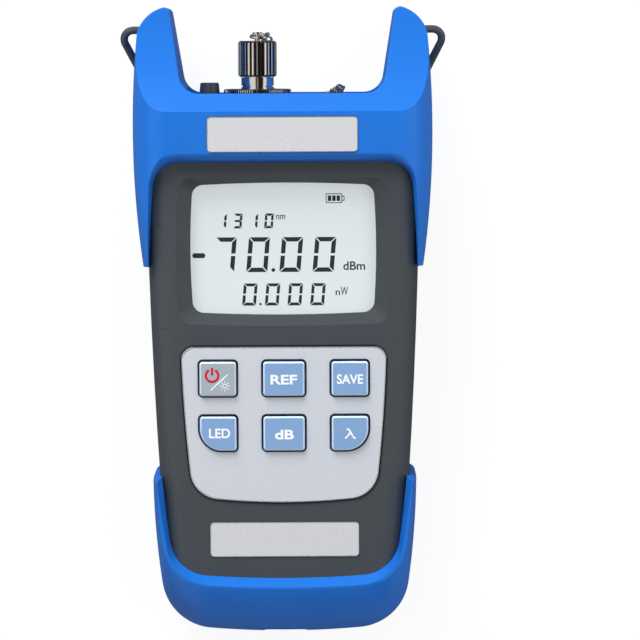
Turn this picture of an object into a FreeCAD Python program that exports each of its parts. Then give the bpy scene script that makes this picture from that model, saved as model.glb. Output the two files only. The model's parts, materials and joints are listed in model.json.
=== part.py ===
import FreeCAD, Part
import math
import os

# Handheld optical power meter, lying on its back.
# +X is to the user's right, +Y runs from the boot to the horns, +Z points out of the front face.
# The origin lies under the middle of the meter, on the surface it rests on. All sizes are in millimetres.

# Whole meter
length = 175.0
depth = 40.0
fit_gap = 0.1

# Grey housing, a tapered block with bulged sides, split into a front and a rear shell
core_top_y = 60.5
core_bottom_y = -82.7
core_top_half = 37.8
core_bottom_half = 31.5
core_side_bulge = 1.45
core_bottom_bulge = 2.2
core_top_corner = 4.0
core_bottom_corner = 13.0
core_back_z = 3.4
core_front_z = 35.5
core_front_edge = 6.0
core_back_edge = 5.0
parting_z = 17.0
wall = 2.2
lip_height = 1.2
lip_thickness = 1.0
toe_start_y = -70.8
toe_low_z = 22.5

# Top guard, a blue moulding with two horns
guard_top_half = 38.9
guard_mid_half = 41.1
guard_mid_y = 52.0
guard_end_half = 38.5
guard_end_y = 16.3
guard_front_edge = 9.0
guard_back_edge = 8.0
guard_horn_corner = 10.0
facet_start_y = 58.8
facet_drop = 9.0
facet_sagitta = 1.7
back_slope_start_y = 64.5
back_slope_rise = 8.8
gap_floor_y = 63.6
gap_floor_half = 27.4
gap_top_half = 31.0
gap_floor_corner = 5.5
horn_inner_corner = 1.6
horn_rim = 0.5
horn_side_slip = 0.25
guard_corner_room = 5.0
arch_top_y = 44.9
arch_top_half = 34.9
arch_end_half = 37.0
arch_side_bulge = 0.5
arch_corner = 7.0
arch_rim = 2.4
panel_window_half = 26.5
panel_window_low_z = 6.5
panel_window_high_z = 34.2

# Bottom boot, a blue cup round the lower end
boot_start_y = -41.8
boot_start_half = 36.8
boot_bottom_half = 32.6
boot_bottom_y = -85.2
boot_side_bulge = 1.0
boot_corner = 15.0
boot_arm_corner = 2.0
boot_widest_z = 17.0
boot_crest_z = 38.0
boot_crest_bottom_y = -71.3
boot_crest_half = 35.1
boot_crest_bottom_half = 31.2
boot_crest_corner = 13.0
boot_crest_bulge = 1.6
boot_crest_width = 0.8
boot_overrun = 10.0
boot_taper = 0.13
boot_rim_side_bulge = 0.4
boot_rim_taper_slip = 0.7
boot_rim_bottom_y = -68.2
boot_rim_half = 33.95
boot_rim_bottom_half = 30.4
boot_rim_corner = 11.0
boot_back_inset = 5.0
boot_shoulder_z = 7.0
boot_side_lean = 1.7
boot_front_turn = 72.0
boot_back_steps = 3
boot_front_steps = 6

# Display, from the window recess down to the board
recess_top_y = 40.3
recess_bottom_y = 0.7
recess_half = 28.6
recess_side_bulge = 0.7
recess_corner = 3.4
recess_depth = 2.6
window_top_y = 38.5
window_bottom_y = 3.6
window_half = 24.8
window_side_bulge = 0.7
window_corner = 3.2
window_lip = 0.8
lens_thickness = 1.2
lens_margin = 1.6
gasket_thickness = 1.2
lcd_glass_thickness = 2.2
backlight_thickness = 2.5
lcd_frame_wall = 1.0

# Key plate and keys
plate_gap = 0.25
plate_top_y = -5.6
plate_bottom_y = -47.0
plate_top_half = 28.3
plate_bottom_half = 25.2
plate_side_bulge = 0.5
plate_bottom_bulge = 1.8
plate_top_corner = 3.8
plate_bottom_corner = 8.5
plate_recess = 0.5
plate_thickness = 0.8
key_pitch_x = 18.1
key_row_y = (-14.4, -29.5)
key_width = 10.0
key_middle_width = 11.3
key_height = 9.4
key_gap = 0.6
key_corner = 0.8
key_bevel = 0.45
key_big_corner = 6.0
key_proud = 1.4
key_flange = 0.9
key_flange_thickness = 1.0
key_travel = 0.6
key_stem = 4.0
key_running_gap = 0.1
mat_web = 0.8
mat_margin = 1.2

# Board, its chips as (width, height, x, y), and switches
chip_places = ((10.0, 10.0, 12.0, 28.0), (6.0, 5.0, -7.0, 33.0), (5.0, 4.0, 8.0, -66.0))
chip_thickness = 1.5
board_thickness = 1.6
board_top_z = 25.0
board_margin = 1.5
board_top_y = 47.0
switch_side = 6.0
switch_height = 3.6
switch_plunger_radius = 1.6

# Fibre port on the top panel
port_x = -7.0
port_z = 20.0
flange_radius = 9.35
flange_thickness = 3.0
flange_seat_gap = 1.2
knurl_teeth = 40
knurl_depth = 0.35
adapter_body_radius = 5.5
neck_radius = 4.5
neck_length = 3.2
neck_groove = 0.35
barrel_radius = 3.6
barrel_length = 7.6
barrel_bore = 2.9
sleeve_outer = 1.65
sleeve_inner = 1.26
sleeve_slit = 0.35
cap_radius = 5.4
cap_length = 10.0
cap_wall_top = 1.4
cap_flutes = 28
cap_flute_radius = 0.42
cap_chamfer = 0.6
thread_gap = 0.75
cap_seat_gap = 0.1
pin_gap = 0.1
swivel_pin_radius = 0.7
swivel_head_radius = 1.4
cap_ring_radius = 2.3
cap_ring_wire = 0.4
cap_ring_tilt = 12.0
cap_ring_shift = 0.5

# Light detector behind the port
detector_radius = 2.7
detector_length = 4.0
detector_block = 13.0
detector_floor = 1.5
detector_overlap = 1.8

# Torch and chain anchor on the top panel
torch_x = -20.3
torch_base_radius = 3.0
torch_top_radius = 2.6
torch_height = 6.0
torch_led_radius = 1.5
torch_lip = 0.5
torch_mouth = 1.2
torch_collar = 1.0
anchor_x = 15.2
anchor_radius = 1.5
anchor_collar = 1.0
anchor_reach = 3.4
anchor_head = 1.2

# Chain from the cap to its anchor, a route of points with links along it
link_length = 3.0
link_width = 2.0
link_wire = 0.45
link_pitch = 1.9

# Wire bail, folded against the back
bail_wire = 2.15
bail_pivot_y = 81.1
bail_pivot_z = 11.5
bail_inner_half = 35.5
bail_outer_half = 44.4
bail_drop = 3.2
bail_channel_y = 66.0
bail_channel_half = 38.6
bail_bar_y = 28.0
bail_bar_half = 14.0
bail_bar_z = 1.35
bail_bend = 2.6
bail_leg_bend = 6.0
bail_slot_gap = 0.45
bail_pivot_gap = 0.05
bail_channel_reach = 20.0

# Label plates, bare, let into the front
label_length = 40.8
label_height = 9.5
label_corner = 1.1
label_thickness = 0.6
label_proud = 0.2
label_gap = 0.2
top_label_y = 52.6
bottom_label_y = -59.0

# Charging socket in the lower end
socket_width = 7.5
socket_height = 2.7
socket_depth = 5.4
socket_wall = 0.35
socket_inset = 1.4
tongue_width = 3.8
tongue_thickness = 0.6
tongue_inset = 0.8
socket_slot_width = 12.0
socket_slot_height = 7.5

# Battery bay at the back
bay_y = -16.0
bay_width = 48.0
bay_length = 62.0
bay_ledge = 4.0
bay_wall = 2.0
bay_top_z = 16.5
cover_gap = 0.2
cover_thickness = 1.8
cover_corner = 3.0
cell_width = 34.0
cell_length = 50.0
cell_thickness = 10.0
cover_tab_x = 14.0
cover_tab_width = 6.0
cover_tab_root = 2.0

# Screws that hold the shells together, driven from the back
screw_places = ((-29.0, 51.0), (29.0, 51.0), (-31.0, -2.5), (31.0, -2.5), (-24.0, -66.0), (24.0, -66.0))
screw_radius = 1.25
screw_head_radius = 2.4
screw_head_height = 1.6
screw_head_wall = 2.2
screw_gap = 0.05
screw_bite = 7.0
boss_radius = 2.9
boss_gap = 0.3

# Places that follow from the sizes above
half_length = length / 2
face_inner_z = core_front_z - wall
window_floor_z = core_front_z - recess_depth
lens_top_z = window_floor_z - window_lip
lens_bottom_z = lens_top_z - lens_thickness
glass_top_z = lens_bottom_z - gasket_thickness
glass_bottom_z = glass_top_z - lcd_glass_thickness
backlight_bottom_z = glass_bottom_z - backlight_thickness
board_bottom_z = board_top_z - board_thickness
plate_floor_z = core_front_z - plate_recess
plate_top_z = plate_floor_z + plate_thickness
key_wall_z = plate_floor_z - wall + plate_recess
key_top_z = plate_top_z + key_proud
flange_top_z = key_wall_z - key_running_gap
flange_bottom_z = flange_top_z - key_flange_thickness
plunger_top_z = board_top_z + switch_height + 1.7
stem_bottom_z = plunger_top_z + key_travel + key_running_gap
mat_top_z = flange_bottom_z - key_travel - 4 * key_running_gap
flange_y = core_top_y + flange_seat_gap
flange_end_y = flange_y + flange_thickness
neck_end_y = flange_end_y + neck_length
barrel_end_y = neck_end_y + barrel_length
cap_start_y = neck_end_y + cap_seat_gap
cap_end_y = cap_start_y + cap_length
core_end_y = core_bottom_y - core_bottom_bulge
over = 1.0
far = 4 * depth


def point(x, y, z=0.0):
    return FreeCAD.Vector(x, y, z)


def arc_side(start, end, bulge):
    """A straight or bulged edge between two corners; a positive bulge swells to the right of the way walked."""
    if abs(bulge) < 1e-6:
        return Part.LineSegment(start, end).toShape()
    along = (end - start).normalize()
    outward = point(along.y, -along.x)
    return Part.Arc(start, (start + end) * 0.5 + outward * bulge, end).toShape()


def quad_wire(top_y, bottom_y, top_half, bottom_half, bulges, z, shift_x=0.0):
    """A four-sided outline, symmetric about its middle; bulges are those of bottom, side and top."""
    bottom, side, top = bulges
    corners = [
        point(shift_x - bottom_half, bottom_y, z),
        point(shift_x + bottom_half, bottom_y, z),
        point(shift_x + top_half, top_y, z),
        point(shift_x - top_half, top_y, z),
    ]
    swell = [bottom, side, top, side]
    return Part.Wire([arc_side(corners[i], corners[(i + 1) % 4], swell[i]) for i in range(4)])


def upright_edges(solid, test):
    """The edges of a solid that run along Z and whose foot passes a test on x and y."""
    found = []
    for edge in solid.Edges:
        foot, head = edge.Vertexes[0].Point, edge.Vertexes[-1].Point
        if math.hypot(foot.x - head.x, foot.y - head.y) < 1e-4 and abs(foot.z - head.z) > 1e-3:
            if test(foot.x, foot.y):
                found.append(edge)
    return found


def quad_prism(top_y, bottom_y, top_half, bottom_half, bulges, radii, low_z, high_z, shift_x=0.0):
    """The quad outline as an upright block with its bottom and top corners rounded."""
    wire = quad_wire(top_y, bottom_y, top_half, bottom_half, bulges, low_z, shift_x)
    solid = Part.Face(wire).extrude(point(0, 0, high_z - low_z))
    middle_y = (top_y + bottom_y) / 2
    bottom_radius, top_radius = radii
    if bottom_radius:
        solid = solid.makeFillet(bottom_radius, upright_edges(solid, lambda x, y: y < middle_y))
    if top_radius:
        solid = solid.makeFillet(top_radius, upright_edges(solid, lambda x, y: y > middle_y))
    return solid


def outline_at(solid, z):
    """The outer wire of the flat face of a solid that lies at a height."""
    for face in solid.Faces:
        box = face.BoundBox
        if abs(box.ZMin - z) < 1e-5 and abs(box.ZMax - z) < 1e-5:
            return face.OuterWire
    raise ValueError("no flat face at that height")


def rounded_box(width, height, low_z, high_z, radius, x=0.0, y=0.0):
    """An upright block with four equal rounded corners."""
    solid = Part.makeBox(width, height, high_z - low_z, point(x - width / 2, y - height / 2, low_z))
    return solid.makeFillet(radius, upright_edges(solid, lambda u, v: True)) if radius else solid


def ring_along_y(radius, start_y, end_y, x, z):
    return Part.makeCylinder(radius, end_y - start_y, point(x, start_y, z), point(0, 1, 0))


def turned_along_y(profile, x, z):
    """Turns a closed profile of (radius, y) corners about an axis along Y."""
    corners = [point(x + radius, y, z) for radius, y in profile]
    face = Part.Face(Part.makePolygon(corners + corners[:1]))
    return face.revolve(point(x, 0, z), point(0, 1, 0), 360)


def flat_edges(solid, z, test):
    """The edges of a solid that lie at one height and whose middle passes a test on x and y."""
    found = []
    for edge in solid.Edges:
        box = edge.BoundBox
        if abs(box.ZMin - z) < 1e-4 and abs(box.ZMax - z) < 1e-4:
            middle = edge.valueAt((edge.FirstParameter + edge.LastParameter) / 2)
            if test(middle.x, middle.y):
                found.append(edge)
    return found


def save(name, solid):
    solid.exportStep("parts/" + name + ".step")


def core_prism(grow):
    """The tapered block of the housing with sharp front and back edges, grown or shrunk by a distance."""
    return quad_prism(
        core_top_y + grow,
        core_bottom_y - grow,
        core_top_half + grow,
        core_bottom_half + grow,
        (core_bottom_bulge, core_side_bulge, 0.0),
        (core_bottom_corner + grow, core_top_corner + grow),
        core_back_z - grow,
        core_front_z + grow,
    )


def core_block(grow):
    """The tapered block with its front and back edges rounded."""
    solid = core_prism(grow)
    solid = solid.makeFillet(core_front_edge + grow, flat_edges(solid, core_front_z + grow, lambda x, y: True))
    solid = solid.makeFillet(core_back_edge + grow, flat_edges(solid, core_back_z - grow, lambda x, y: True))
    return solid.cut(toe_wedge(grow))


def toe_wedge(grow):
    """What is cut off the lower end in front, so that the housing follows the slope of the boot."""
    high = point(0, toe_start_y, core_front_z)
    low = point(0, core_bottom_y - core_bottom_bulge, toe_low_z)
    along = (low - high).normalize()
    outward = point(0, along.z, -along.y)
    high = high - along * core_front_z + outward * grow
    low = low + along * core_front_z + outward * grow
    corner = point(0, low.y, high.z)
    return across_width(Part.Face(Part.makePolygon([high, low, corner, high])))


def slab(low_z, high_z):
    """Everything between two heights."""
    return Part.makeBox(far, 2 * length, high_z - low_z, point(-2 * depth, -length, low_z))


def rim_ring(outer, inner, low_z, high_z):
    """The ring between two shrunk outlines of the housing, used for the lip that locates the shells."""
    outside = core_block(-outer).common(slab(low_z, high_z))
    return outside.cut(core_block(-inner))


def recess_tool():
    """The sloping recess round the display, from the front face down to the window."""
    outer = quad_prism(
        recess_top_y, recess_bottom_y, recess_half, recess_half,
        (recess_side_bulge, recess_side_bulge, recess_side_bulge),
        (recess_corner, recess_corner), core_front_z, core_front_z + over,
    )
    inner = window_prism(window_floor_z, window_floor_z + over, 0.0)
    slope = Part.makeLoft(
        [outline_at(inner, window_floor_z), outline_at(outer, core_front_z)], True, True
    )
    return slope.fuse(outer)


def window_prism(low_z, high_z, grow):
    return quad_prism(
        window_top_y + grow, window_bottom_y - grow, window_half + grow, window_half + grow,
        (window_side_bulge, window_side_bulge, window_side_bulge),
        (window_corner + grow, window_corner + grow), low_z, high_z,
    )


def plate_prism(low_z, high_z, grow):
    return quad_prism(
        plate_top_y + grow, plate_bottom_y - grow, plate_top_half + grow, plate_bottom_half + grow,
        (plate_bottom_bulge, plate_side_bulge, 0.0),
        (plate_bottom_corner + grow, plate_top_corner + grow), low_z, high_z,
    )


def key_layout():
    """Name, middle and half-width of each key, with the side of its one large corner, if it has one."""
    names = (("power_key", "ref_key", "save_key"), ("led_key", "db_key", "wavelength_key"))
    keys = []
    for row, row_y in enumerate(key_row_y):
        for column in range(3):
            width = key_middle_width if column == 1 else key_width
            big_side = column - 1 if row == 1 else 0
            keys.append((names[row][column], (column - 1) * key_pitch_x, row_y, width, big_side))
    return keys


def key_prism(key, low_z, high_z, grow):
    """A key's outline as a block; the outer keys of the lower row have one large corner."""
    name, x, y, width, big_side = key
    w, h = width + 2 * grow, key_height + 2 * grow
    solid = Part.makeBox(w, h, high_z - low_z, point(x - w / 2, y - h / 2, low_z))
    big = upright_edges(solid, lambda u, v: big_side != 0 and (u - x) * big_side > 0 and v < y)
    if big:
        solid = solid.makeFillet(key_big_corner + grow, big)
    small = [
        e for e in upright_edges(solid, lambda u, v: True)
        if abs(abs(e.Vertexes[0].X - x) - w / 2) < 1e-6 and abs(abs(e.Vertexes[0].Y - y) - h / 2) < 1e-6
    ]
    return solid.makeFillet(key_corner + grow, small)


def label_prism(y, low_z, high_z, grow):
    return rounded_box(
        label_length + 2 * grow, label_height + 2 * grow, low_z, high_z, label_corner + grow, 0.0, y
    )


def boss_post(x, y, low_z, high_z, radius):
    return Part.makeCylinder(radius, high_z - low_z, point(x, y, low_z))


def panel_cuts():
    """Holes through the top wall of the housing for the port, the torch and the chain's screw."""
    holes = ring_along_y(adapter_body_radius + fit_gap, core_top_y - 2 * wall, core_top_y + wall, port_x, port_z)
    holes = holes.fuse(
        ring_along_y(torch_base_radius + fit_gap, core_top_y - 2 * wall, core_top_y + wall, torch_x, port_z)
    )
    return holes.fuse(
        ring_along_y(anchor_radius * 0.5 + screw_gap, core_top_y - 2 * wall, core_top_y + wall, anchor_x, port_z)
    )


def socket_box(grow, start_y, end_y):
    """The space of the charging socket, grown by a gap."""
    middle_z = board_bottom_z - socket_height / 2
    solid = Part.makeBox(
        socket_width + 2 * grow, end_y - start_y, socket_height + 2 * grow,
        point(-socket_width / 2 - grow, start_y, middle_z - socket_height / 2 - grow),
    )
    return solid


def front_shell():
    shell = core_block(0.0).cut(core_block(-wall)).common(slab(parting_z, depth))
    shell = shell.fuse(rim_ring(wall - lip_thickness, wall, parting_z - lip_height, parting_z + lip_height))
    # The frame behind the recess carries the window
    frame_low = lens_top_z - lens_thickness
    frame = quad_prism(
        recess_top_y + wall, recess_bottom_y - wall, recess_half + wall, recess_half + wall,
        (recess_side_bulge,) * 3, (recess_corner, recess_corner), frame_low, core_front_z - wall / 2,
    )
    shell = shell.fuse(frame)
    shell = shell.cut(recess_tool())
    shell = shell.cut(window_prism(frame_low - over, core_front_z, 0.0))
    shell = shell.cut(window_prism(frame_low - over, lens_top_z, lens_margin + fit_gap))
    shell = shell.cut(plate_prism(plate_floor_z, core_front_z + over, plate_gap))
    for key in key_layout():
        shell = shell.cut(key_prism(key, key_wall_z - over, core_front_z, key_gap))
    shell = shell.cut(
        label_prism(bottom_label_y, core_front_z - label_thickness + label_proud, core_front_z + over, label_gap)
    )
    posts = [
        boss_post(x, y, parting_z, face_inner_z + wall / 2, boss_radius).cut(
            boss_post(x, y, parting_z - over, parting_z + screw_bite + over, screw_radius + screw_gap)
        )
        for x, y in screw_places
    ]
    shell = shell.fuse([post.common(core_block(-wall / 2)) for post in posts])
    shell = shell.cut(panel_cuts())
    return shell.cut(socket_box(fit_gap, core_end_y - wall, core_end_y + 3 * wall)).removeSplitter()


def cover_tabs(grow, reach):
    """Two tabs on the battery cover's upper edge that slip behind the wall of the rear shell."""
    top_y = bay_y + bay_length / 2
    low_z = core_back_z + cover_thickness / 2
    tabs = [
        Part.makeBox(
            cover_tab_width + 2 * grow, reach + cover_tab_root, cover_thickness / 2 + grow,
            point(side * cover_tab_x - cover_tab_width / 2 - grow, top_y - cover_tab_root, low_z - grow),
        )
        for side in (-1, 1)
    ]
    return tabs[0].fuse(tabs[1])


def cover_screw_place():
    return 0.0, bay_y - bay_length / 2 + bay_ledge / 2 + 1.0


def rear_shell():
    shell = core_block(0.0).cut(core_block(-wall)).common(slab(-over, parting_z))
    shell = shell.cut(rim_ring(wall - lip_thickness - fit_gap, wall, parting_z - lip_height - fit_gap, parting_z))
    ledge_z = core_back_z + cover_thickness + fit_gap
    bay = rounded_box(
        bay_width + 2 * bay_wall, bay_length + 2 * bay_wall, core_back_z + wall / 2, bay_top_z,
        cover_corner, 0.0, bay_y,
    )
    shell = shell.fuse(bay)
    shell = shell.cut(rounded_box(bay_width, bay_length, core_back_z - over, ledge_z, cover_corner, 0.0, bay_y))
    shell = shell.cut(
        rounded_box(
            bay_width - 2 * bay_ledge, bay_length - 2 * bay_ledge, ledge_z - over, bay_top_z + over,
            cover_corner, 0.0, bay_y,
        )
    )
    shell = shell.cut(cover_tabs(fit_gap, bay_wall / 2 + fit_gap))
    x, y = cover_screw_place()
    shell = shell.cut(boss_post(x, y, core_back_z, ledge_z + screw_bite, screw_radius + screw_gap))
    posts = [boss_post(x, y, core_back_z + wall / 2, parting_z - fit_gap, boss_radius) for x, y in screw_places]
    shell = shell.fuse([post.common(core_block(-wall / 2)) for post in posts])
    for x, y in screw_places:
        shell = shell.cut(boss_post(x, y, core_back_z - over, parting_z + over, screw_radius + 2 * screw_gap))
        head_z = core_back_z + wall + screw_head_wall
        shell = shell.cut(boss_post(x, y, core_back_z - over, head_z, screw_head_radius + fit_gap))
    return shell.cut(panel_cuts()).removeSplitter()


def lcd_carrier():
    """The carrier round the display glass and its light panel, seated on the board."""
    outside = window_prism(board_top_z, glass_top_z, lens_margin + lcd_frame_wall + fit_gap)
    return outside.cut(window_prism(board_top_z - over, glass_top_z + over, lens_margin + fit_gap))


def display():
    save("display_window", window_prism(lens_bottom_z, lens_top_z, lens_margin))
    gasket = window_prism(glass_top_z, lens_bottom_z, lens_margin).cut(
        window_prism(glass_top_z - over, lens_bottom_z + over, 0.4)
    )
    save("window_gasket", gasket)
    save("lcd_glass", window_prism(glass_bottom_z, glass_top_z, lens_margin))
    save("backlight_panel", window_prism(backlight_bottom_z, glass_bottom_z, lens_margin))
    save("lcd_frame", lcd_carrier())


def key_plate():
    plate = plate_prism(plate_floor_z, plate_top_z, 0.0)
    for key in key_layout():
        plate = plate.cut(key_prism(key, plate_floor_z - over, plate_top_z + over, key_gap))
    return plate


def make_key(key):
    """A key: the cap through the plate, a flange that keeps it in, and a stem over its switch."""
    name, x, y, width, big_side = key
    cap = key_prism(key, flange_bottom_z, key_top_z, 0.0)
    top = flat_edges(cap, key_top_z, lambda u, v: True)
    cap = cap.makeChamfer(key_bevel, top)
    flange = key_prism(key, flange_bottom_z, flange_top_z, key_gap + key_flange)
    stem = Part.makeBox(
        key_stem, key_stem, flange_bottom_z - stem_bottom_z + key_running_gap,
        point(x - key_stem / 2, y - key_stem / 2, stem_bottom_z),
    )
    return cap.fuse([flange, stem]).removeSplitter()


def keypad_mat():
    """The rubber mat under the keys: a web with a hole for each stem and a rim up to the wall."""
    grow = key_gap + key_flange
    reach_x = key_pitch_x + key_width / 2 + grow + mat_margin
    top_y = key_row_y[0] + key_height / 2 + grow + mat_margin
    low_y = key_row_y[1] - key_height / 2 - grow - mat_margin
    mat = rounded_box(
        2 * reach_x, top_y - low_y, mat_top_z - mat_web, key_wall_z, key_big_corner / 2, 0.0, (top_y + low_y) / 2
    )
    for key in key_layout():
        name, x, y, width, big_side = key
        mat = mat.cut(key_prism(key, mat_top_z, key_wall_z + over, grow + key_running_gap))
        mat = mat.cut(rounded_box(key_stem + 0.6, key_stem + 0.6, board_top_z, mat_top_z + over, 0.0, x, y))
    return mat


def tact_switches():
    """One small push switch under each key."""
    switches = []
    for name, x, y, width, big_side in key_layout():
        body = rounded_box(switch_side, switch_side, board_top_z, board_top_z + switch_height, 0.0, x, y)
        switches.append(body.fuse(boss_post(x, y, board_top_z + switch_height, plunger_top_z, switch_plunger_radius)))
    return Part.makeCompound(switches)


def main_board():
    board = core_prism(-wall - board_margin).cut(toe_wedge(-wall - board_margin))
    board = board.common(slab(board_bottom_z, board_top_z))
    trim = Part.makeBox(far, length, depth, point(-2 * depth, board_top_y, 0))
    board = board.cut(trim)
    for x, y in screw_places:
        board = board.cut(boss_post(x, y, 0, depth, boss_radius + boss_gap))
    return board


def board_chips():
    """The processor, the amplifier and the charger on the underside of the board."""
    return Part.makeCompound([
        rounded_box(width, height, board_bottom_z - chip_thickness, board_bottom_z, 0.0, x, y)
        for width, height, x, y in chip_places
    ])


def charging_socket():
    """The metal shell of the charging socket and the tongue inside it."""
    start_y = core_end_y + socket_inset
    shell = socket_box(0.0, start_y, start_y + socket_depth)
    shell = shell.cut(socket_box(-socket_wall, start_y - over, start_y + socket_depth - socket_wall))
    save("charging_socket", shell)
    middle_z = board_bottom_z - socket_height / 2
    tongue = Part.makeBox(
        tongue_width, socket_depth - socket_wall - tongue_inset, tongue_thickness,
        point(-tongue_width / 2, start_y + tongue_inset, middle_z),
    )
    save("socket_tongue", tongue)


def battery():
    low_z = core_back_z + cover_thickness + 2 * fit_gap
    cell = Part.makeBox(
        cell_width, cell_length, cell_thickness, point(-cell_width / 2, bay_y - cell_length / 2, low_z)
    )
    long_edges = [e for e in cell.Edges if abs(e.Vertexes[0].Y - e.Vertexes[-1].Y) > 1.0]
    save("battery_cell", cell.makeFillet(cell_thickness * 0.3, long_edges))
    cover = rounded_box(
        bay_width - 2 * cover_gap, bay_length - 2 * cover_gap, core_back_z, core_back_z + cover_thickness,
        cover_corner - cover_gap, 0.0, bay_y,
    )
    cover = cover.fuse(cover_tabs(0.0, bay_wall / 2 - fit_gap))
    x, y = cover_screw_place()
    cover = cover.cut(boss_post(x, y, core_back_z - over, depth, screw_radius + 2 * screw_gap))
    cover = cover.cut(
        boss_post(x, y, core_back_z - over, core_back_z + cover_thickness / 2, screw_head_radius + fit_gap)
    )
    save("battery_cover", cover.removeSplitter())
    screw = boss_post(x, y, core_back_z + fit_gap, core_back_z + cover_thickness / 2, screw_head_radius)
    screw = screw.fuse(boss_post(x, y, core_back_z + fit_gap, core_back_z + screw_bite, screw_radius))
    save("battery_cover_screw", screw.cut(screw_cross(x, y, core_back_z + fit_gap, 0.5)))


def screw_cross(x, y, z, cut_depth):
    """The crossed slots in a screw head that faces the back."""
    arm = 2 * screw_head_radius * 0.6
    first = Part.makeBox(arm, 0.5, cut_depth, point(x - arm / 2, y - 0.25, z))
    return first.fuse(Part.makeBox(0.5, arm, cut_depth, point(x - 0.25, y - arm / 2, z)))


def shell_screws():
    """Pan-head screws from the rear shell into the front shell's bosses."""
    screws = []
    head_z = core_back_z + wall + screw_head_wall
    for x, y in screw_places:
        screw = boss_post(x, y, head_z - screw_head_height, head_z, screw_head_radius)
        screw = screw.fuse(boss_post(x, y, head_z - 0.1, parting_z + screw_bite, screw_radius))
        screws.append(screw.cut(screw_cross(x, y, head_z - screw_head_height, 0.8)))
    return Part.makeCompound(screws)


def facet_face_points():
    """Start, middle and end of the hollow front slope of the guard, seen from the side."""
    start = point(0, facet_start_y, depth)
    end = point(0, half_length, depth - facet_drop)
    along = (end - start).normalize()
    middle = (start + end) * 0.5 + point(0, along.z, -along.y) * facet_sagitta
    return start, middle, end


def guard_slab():
    """The guard before its openings: an outline with long curved sides and rounded side edges."""
    sides = []
    for side in (1, -1):
        low = point(side * guard_end_half, guard_end_y, 0)
        widest = point(side * guard_mid_half, guard_mid_y, 0)
        high = point(side * guard_top_half, half_length, 0)
        sides.append(Part.Arc(low, widest, high).toShape())
    low_edge = Part.LineSegment(point(-guard_end_half, guard_end_y), point(guard_end_half, guard_end_y)).toShape()
    top_edge = Part.LineSegment(point(guard_top_half, half_length), point(-guard_top_half, half_length)).toShape()
    outline = Part.Wire([low_edge, sides[0], top_edge, sides[1]])
    solid = Part.Face(outline).extrude(point(0, 0, depth))
    solid = solid.makeFillet(guard_front_edge, flat_edges(solid, depth, beside_guard))
    return solid.makeFillet(guard_back_edge, flat_edges(solid, 0.0, beside_guard))


def beside_guard(x, y):
    """True for a place along the long sides of the guard."""
    return abs(x) > guard_end_half * 0.9


def across_width(face):
    """A face in the middle plane of the meter, swept far out to both sides."""
    tool = face.extrude(point(far, 0, 0))
    tool.translate(point(-far / 2, 0, 0))
    return tool


def top_guard():
    guard = guard_slab()
    # Front slope, hollow, and back slope towards the horn tips
    start, middle, end = facet_face_points()
    past = half_length + over
    above = 2 * depth
    corners = [end, point(0, past, end.z), point(0, past, above), point(0, start.y, above), start]
    slope = Part.Wire(
        [Part.Arc(start, middle, end).toShape()]
        + [Part.LineSegment(low, high).toShape() for low, high in zip(corners, corners[1:])]
    )
    front_cut = across_width(Part.Face(slope))
    foot = point(0, back_slope_start_y, 0)
    rise = back_slope_rise * (past - foot.y) / (half_length - foot.y)
    back = Part.makePolygon([foot, point(0, past, rise), point(0, past, -over), point(0, foot.y, -over), foot])
    guard = guard.cut(front_cut).cut(across_width(Part.Face(back)))
    # Rounded outer corners of the horns and rounded ends of the side arms
    trim = quad_prism(
        half_length, guard_end_y, guard_top_half + horn_side_slip, guard_mid_half + guard_corner_room,
        (0.0, 0.0, 0.0), (0.0, guard_horn_corner), -over, depth + over,
    )
    guard = guard.common(trim)
    # The open space between the horns
    gap_flare = (gap_top_half - gap_floor_half) / (half_length - gap_floor_y)
    gap = quad_prism(
        past, gap_floor_y, gap_top_half + over * gap_flare, gap_floor_half, (0.0, 0.0, 0.0),
        (gap_floor_corner, 0.0), -over, depth + over,
    )
    guard = guard.cut(gap)
    horn_tips = upright_edges(guard, lambda x, y: y > half_length - 0.1 and abs(x) < gap_top_half + over)
    guard = guard.makeFillet(horn_inner_corner, horn_tips)
    guard = round_horn_rim(guard)
    # Pocket for the housing, arches in front and back, and the window round the top panel
    guard = guard.cut(core_block(fit_gap))
    guard = guard.cut(arch_prism(core_front_z - core_front_edge, depth + over, 0.0)).cut(arch_flare())
    guard = guard.cut(arch_prism(-over, core_back_z + core_back_edge, 0.0))
    panel = Part.makeBox(
        2 * panel_window_half, 10.0, panel_window_high_z - panel_window_low_z,
        point(-panel_window_half, core_top_y - 2.0, panel_window_low_z),
    )
    guard = guard.cut(panel)
    guard = guard.cut(label_prism(top_label_y, depth - label_thickness + label_proud, depth + over, label_gap))
    return guard.cut(bail_room()).removeSplitter()


def round_horn_rim(guard):
    """Rounds the edge of the hollow front slope, all round the horns and along the gap."""
    end = facet_face_points()[-1]
    rim = []
    for edge in guard.Edges:
        mid = edge.valueAt((edge.FirstParameter + edge.LastParameter) / 2)
        ends = [v.Point for v in edge.Vertexes]
        high = all(p.z > end.z - 0.2 for p in ends) and mid.z > end.z - 0.2
        if high and mid.y > facet_start_y + 0.5 and in_gap_edge(mid):
            rim.append(edge)
    return guard.makeFillet(horn_rim, rim)


def in_gap_edge(mid):
    """True for a place on the inner side of a horn or on the floor of the gap between the horns."""
    return abs(mid.x) < gap_top_half + over and mid.y >= gap_floor_y - 0.1


def arch_prism(low_z, high_z, grow):
    return quad_prism(
        arch_top_y + grow, guard_end_y - 10, arch_top_half + grow, arch_end_half + grow,
        (0.0, arch_side_bulge, 0.0), (0.0, arch_corner + grow), low_z, high_z,
    )


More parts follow.
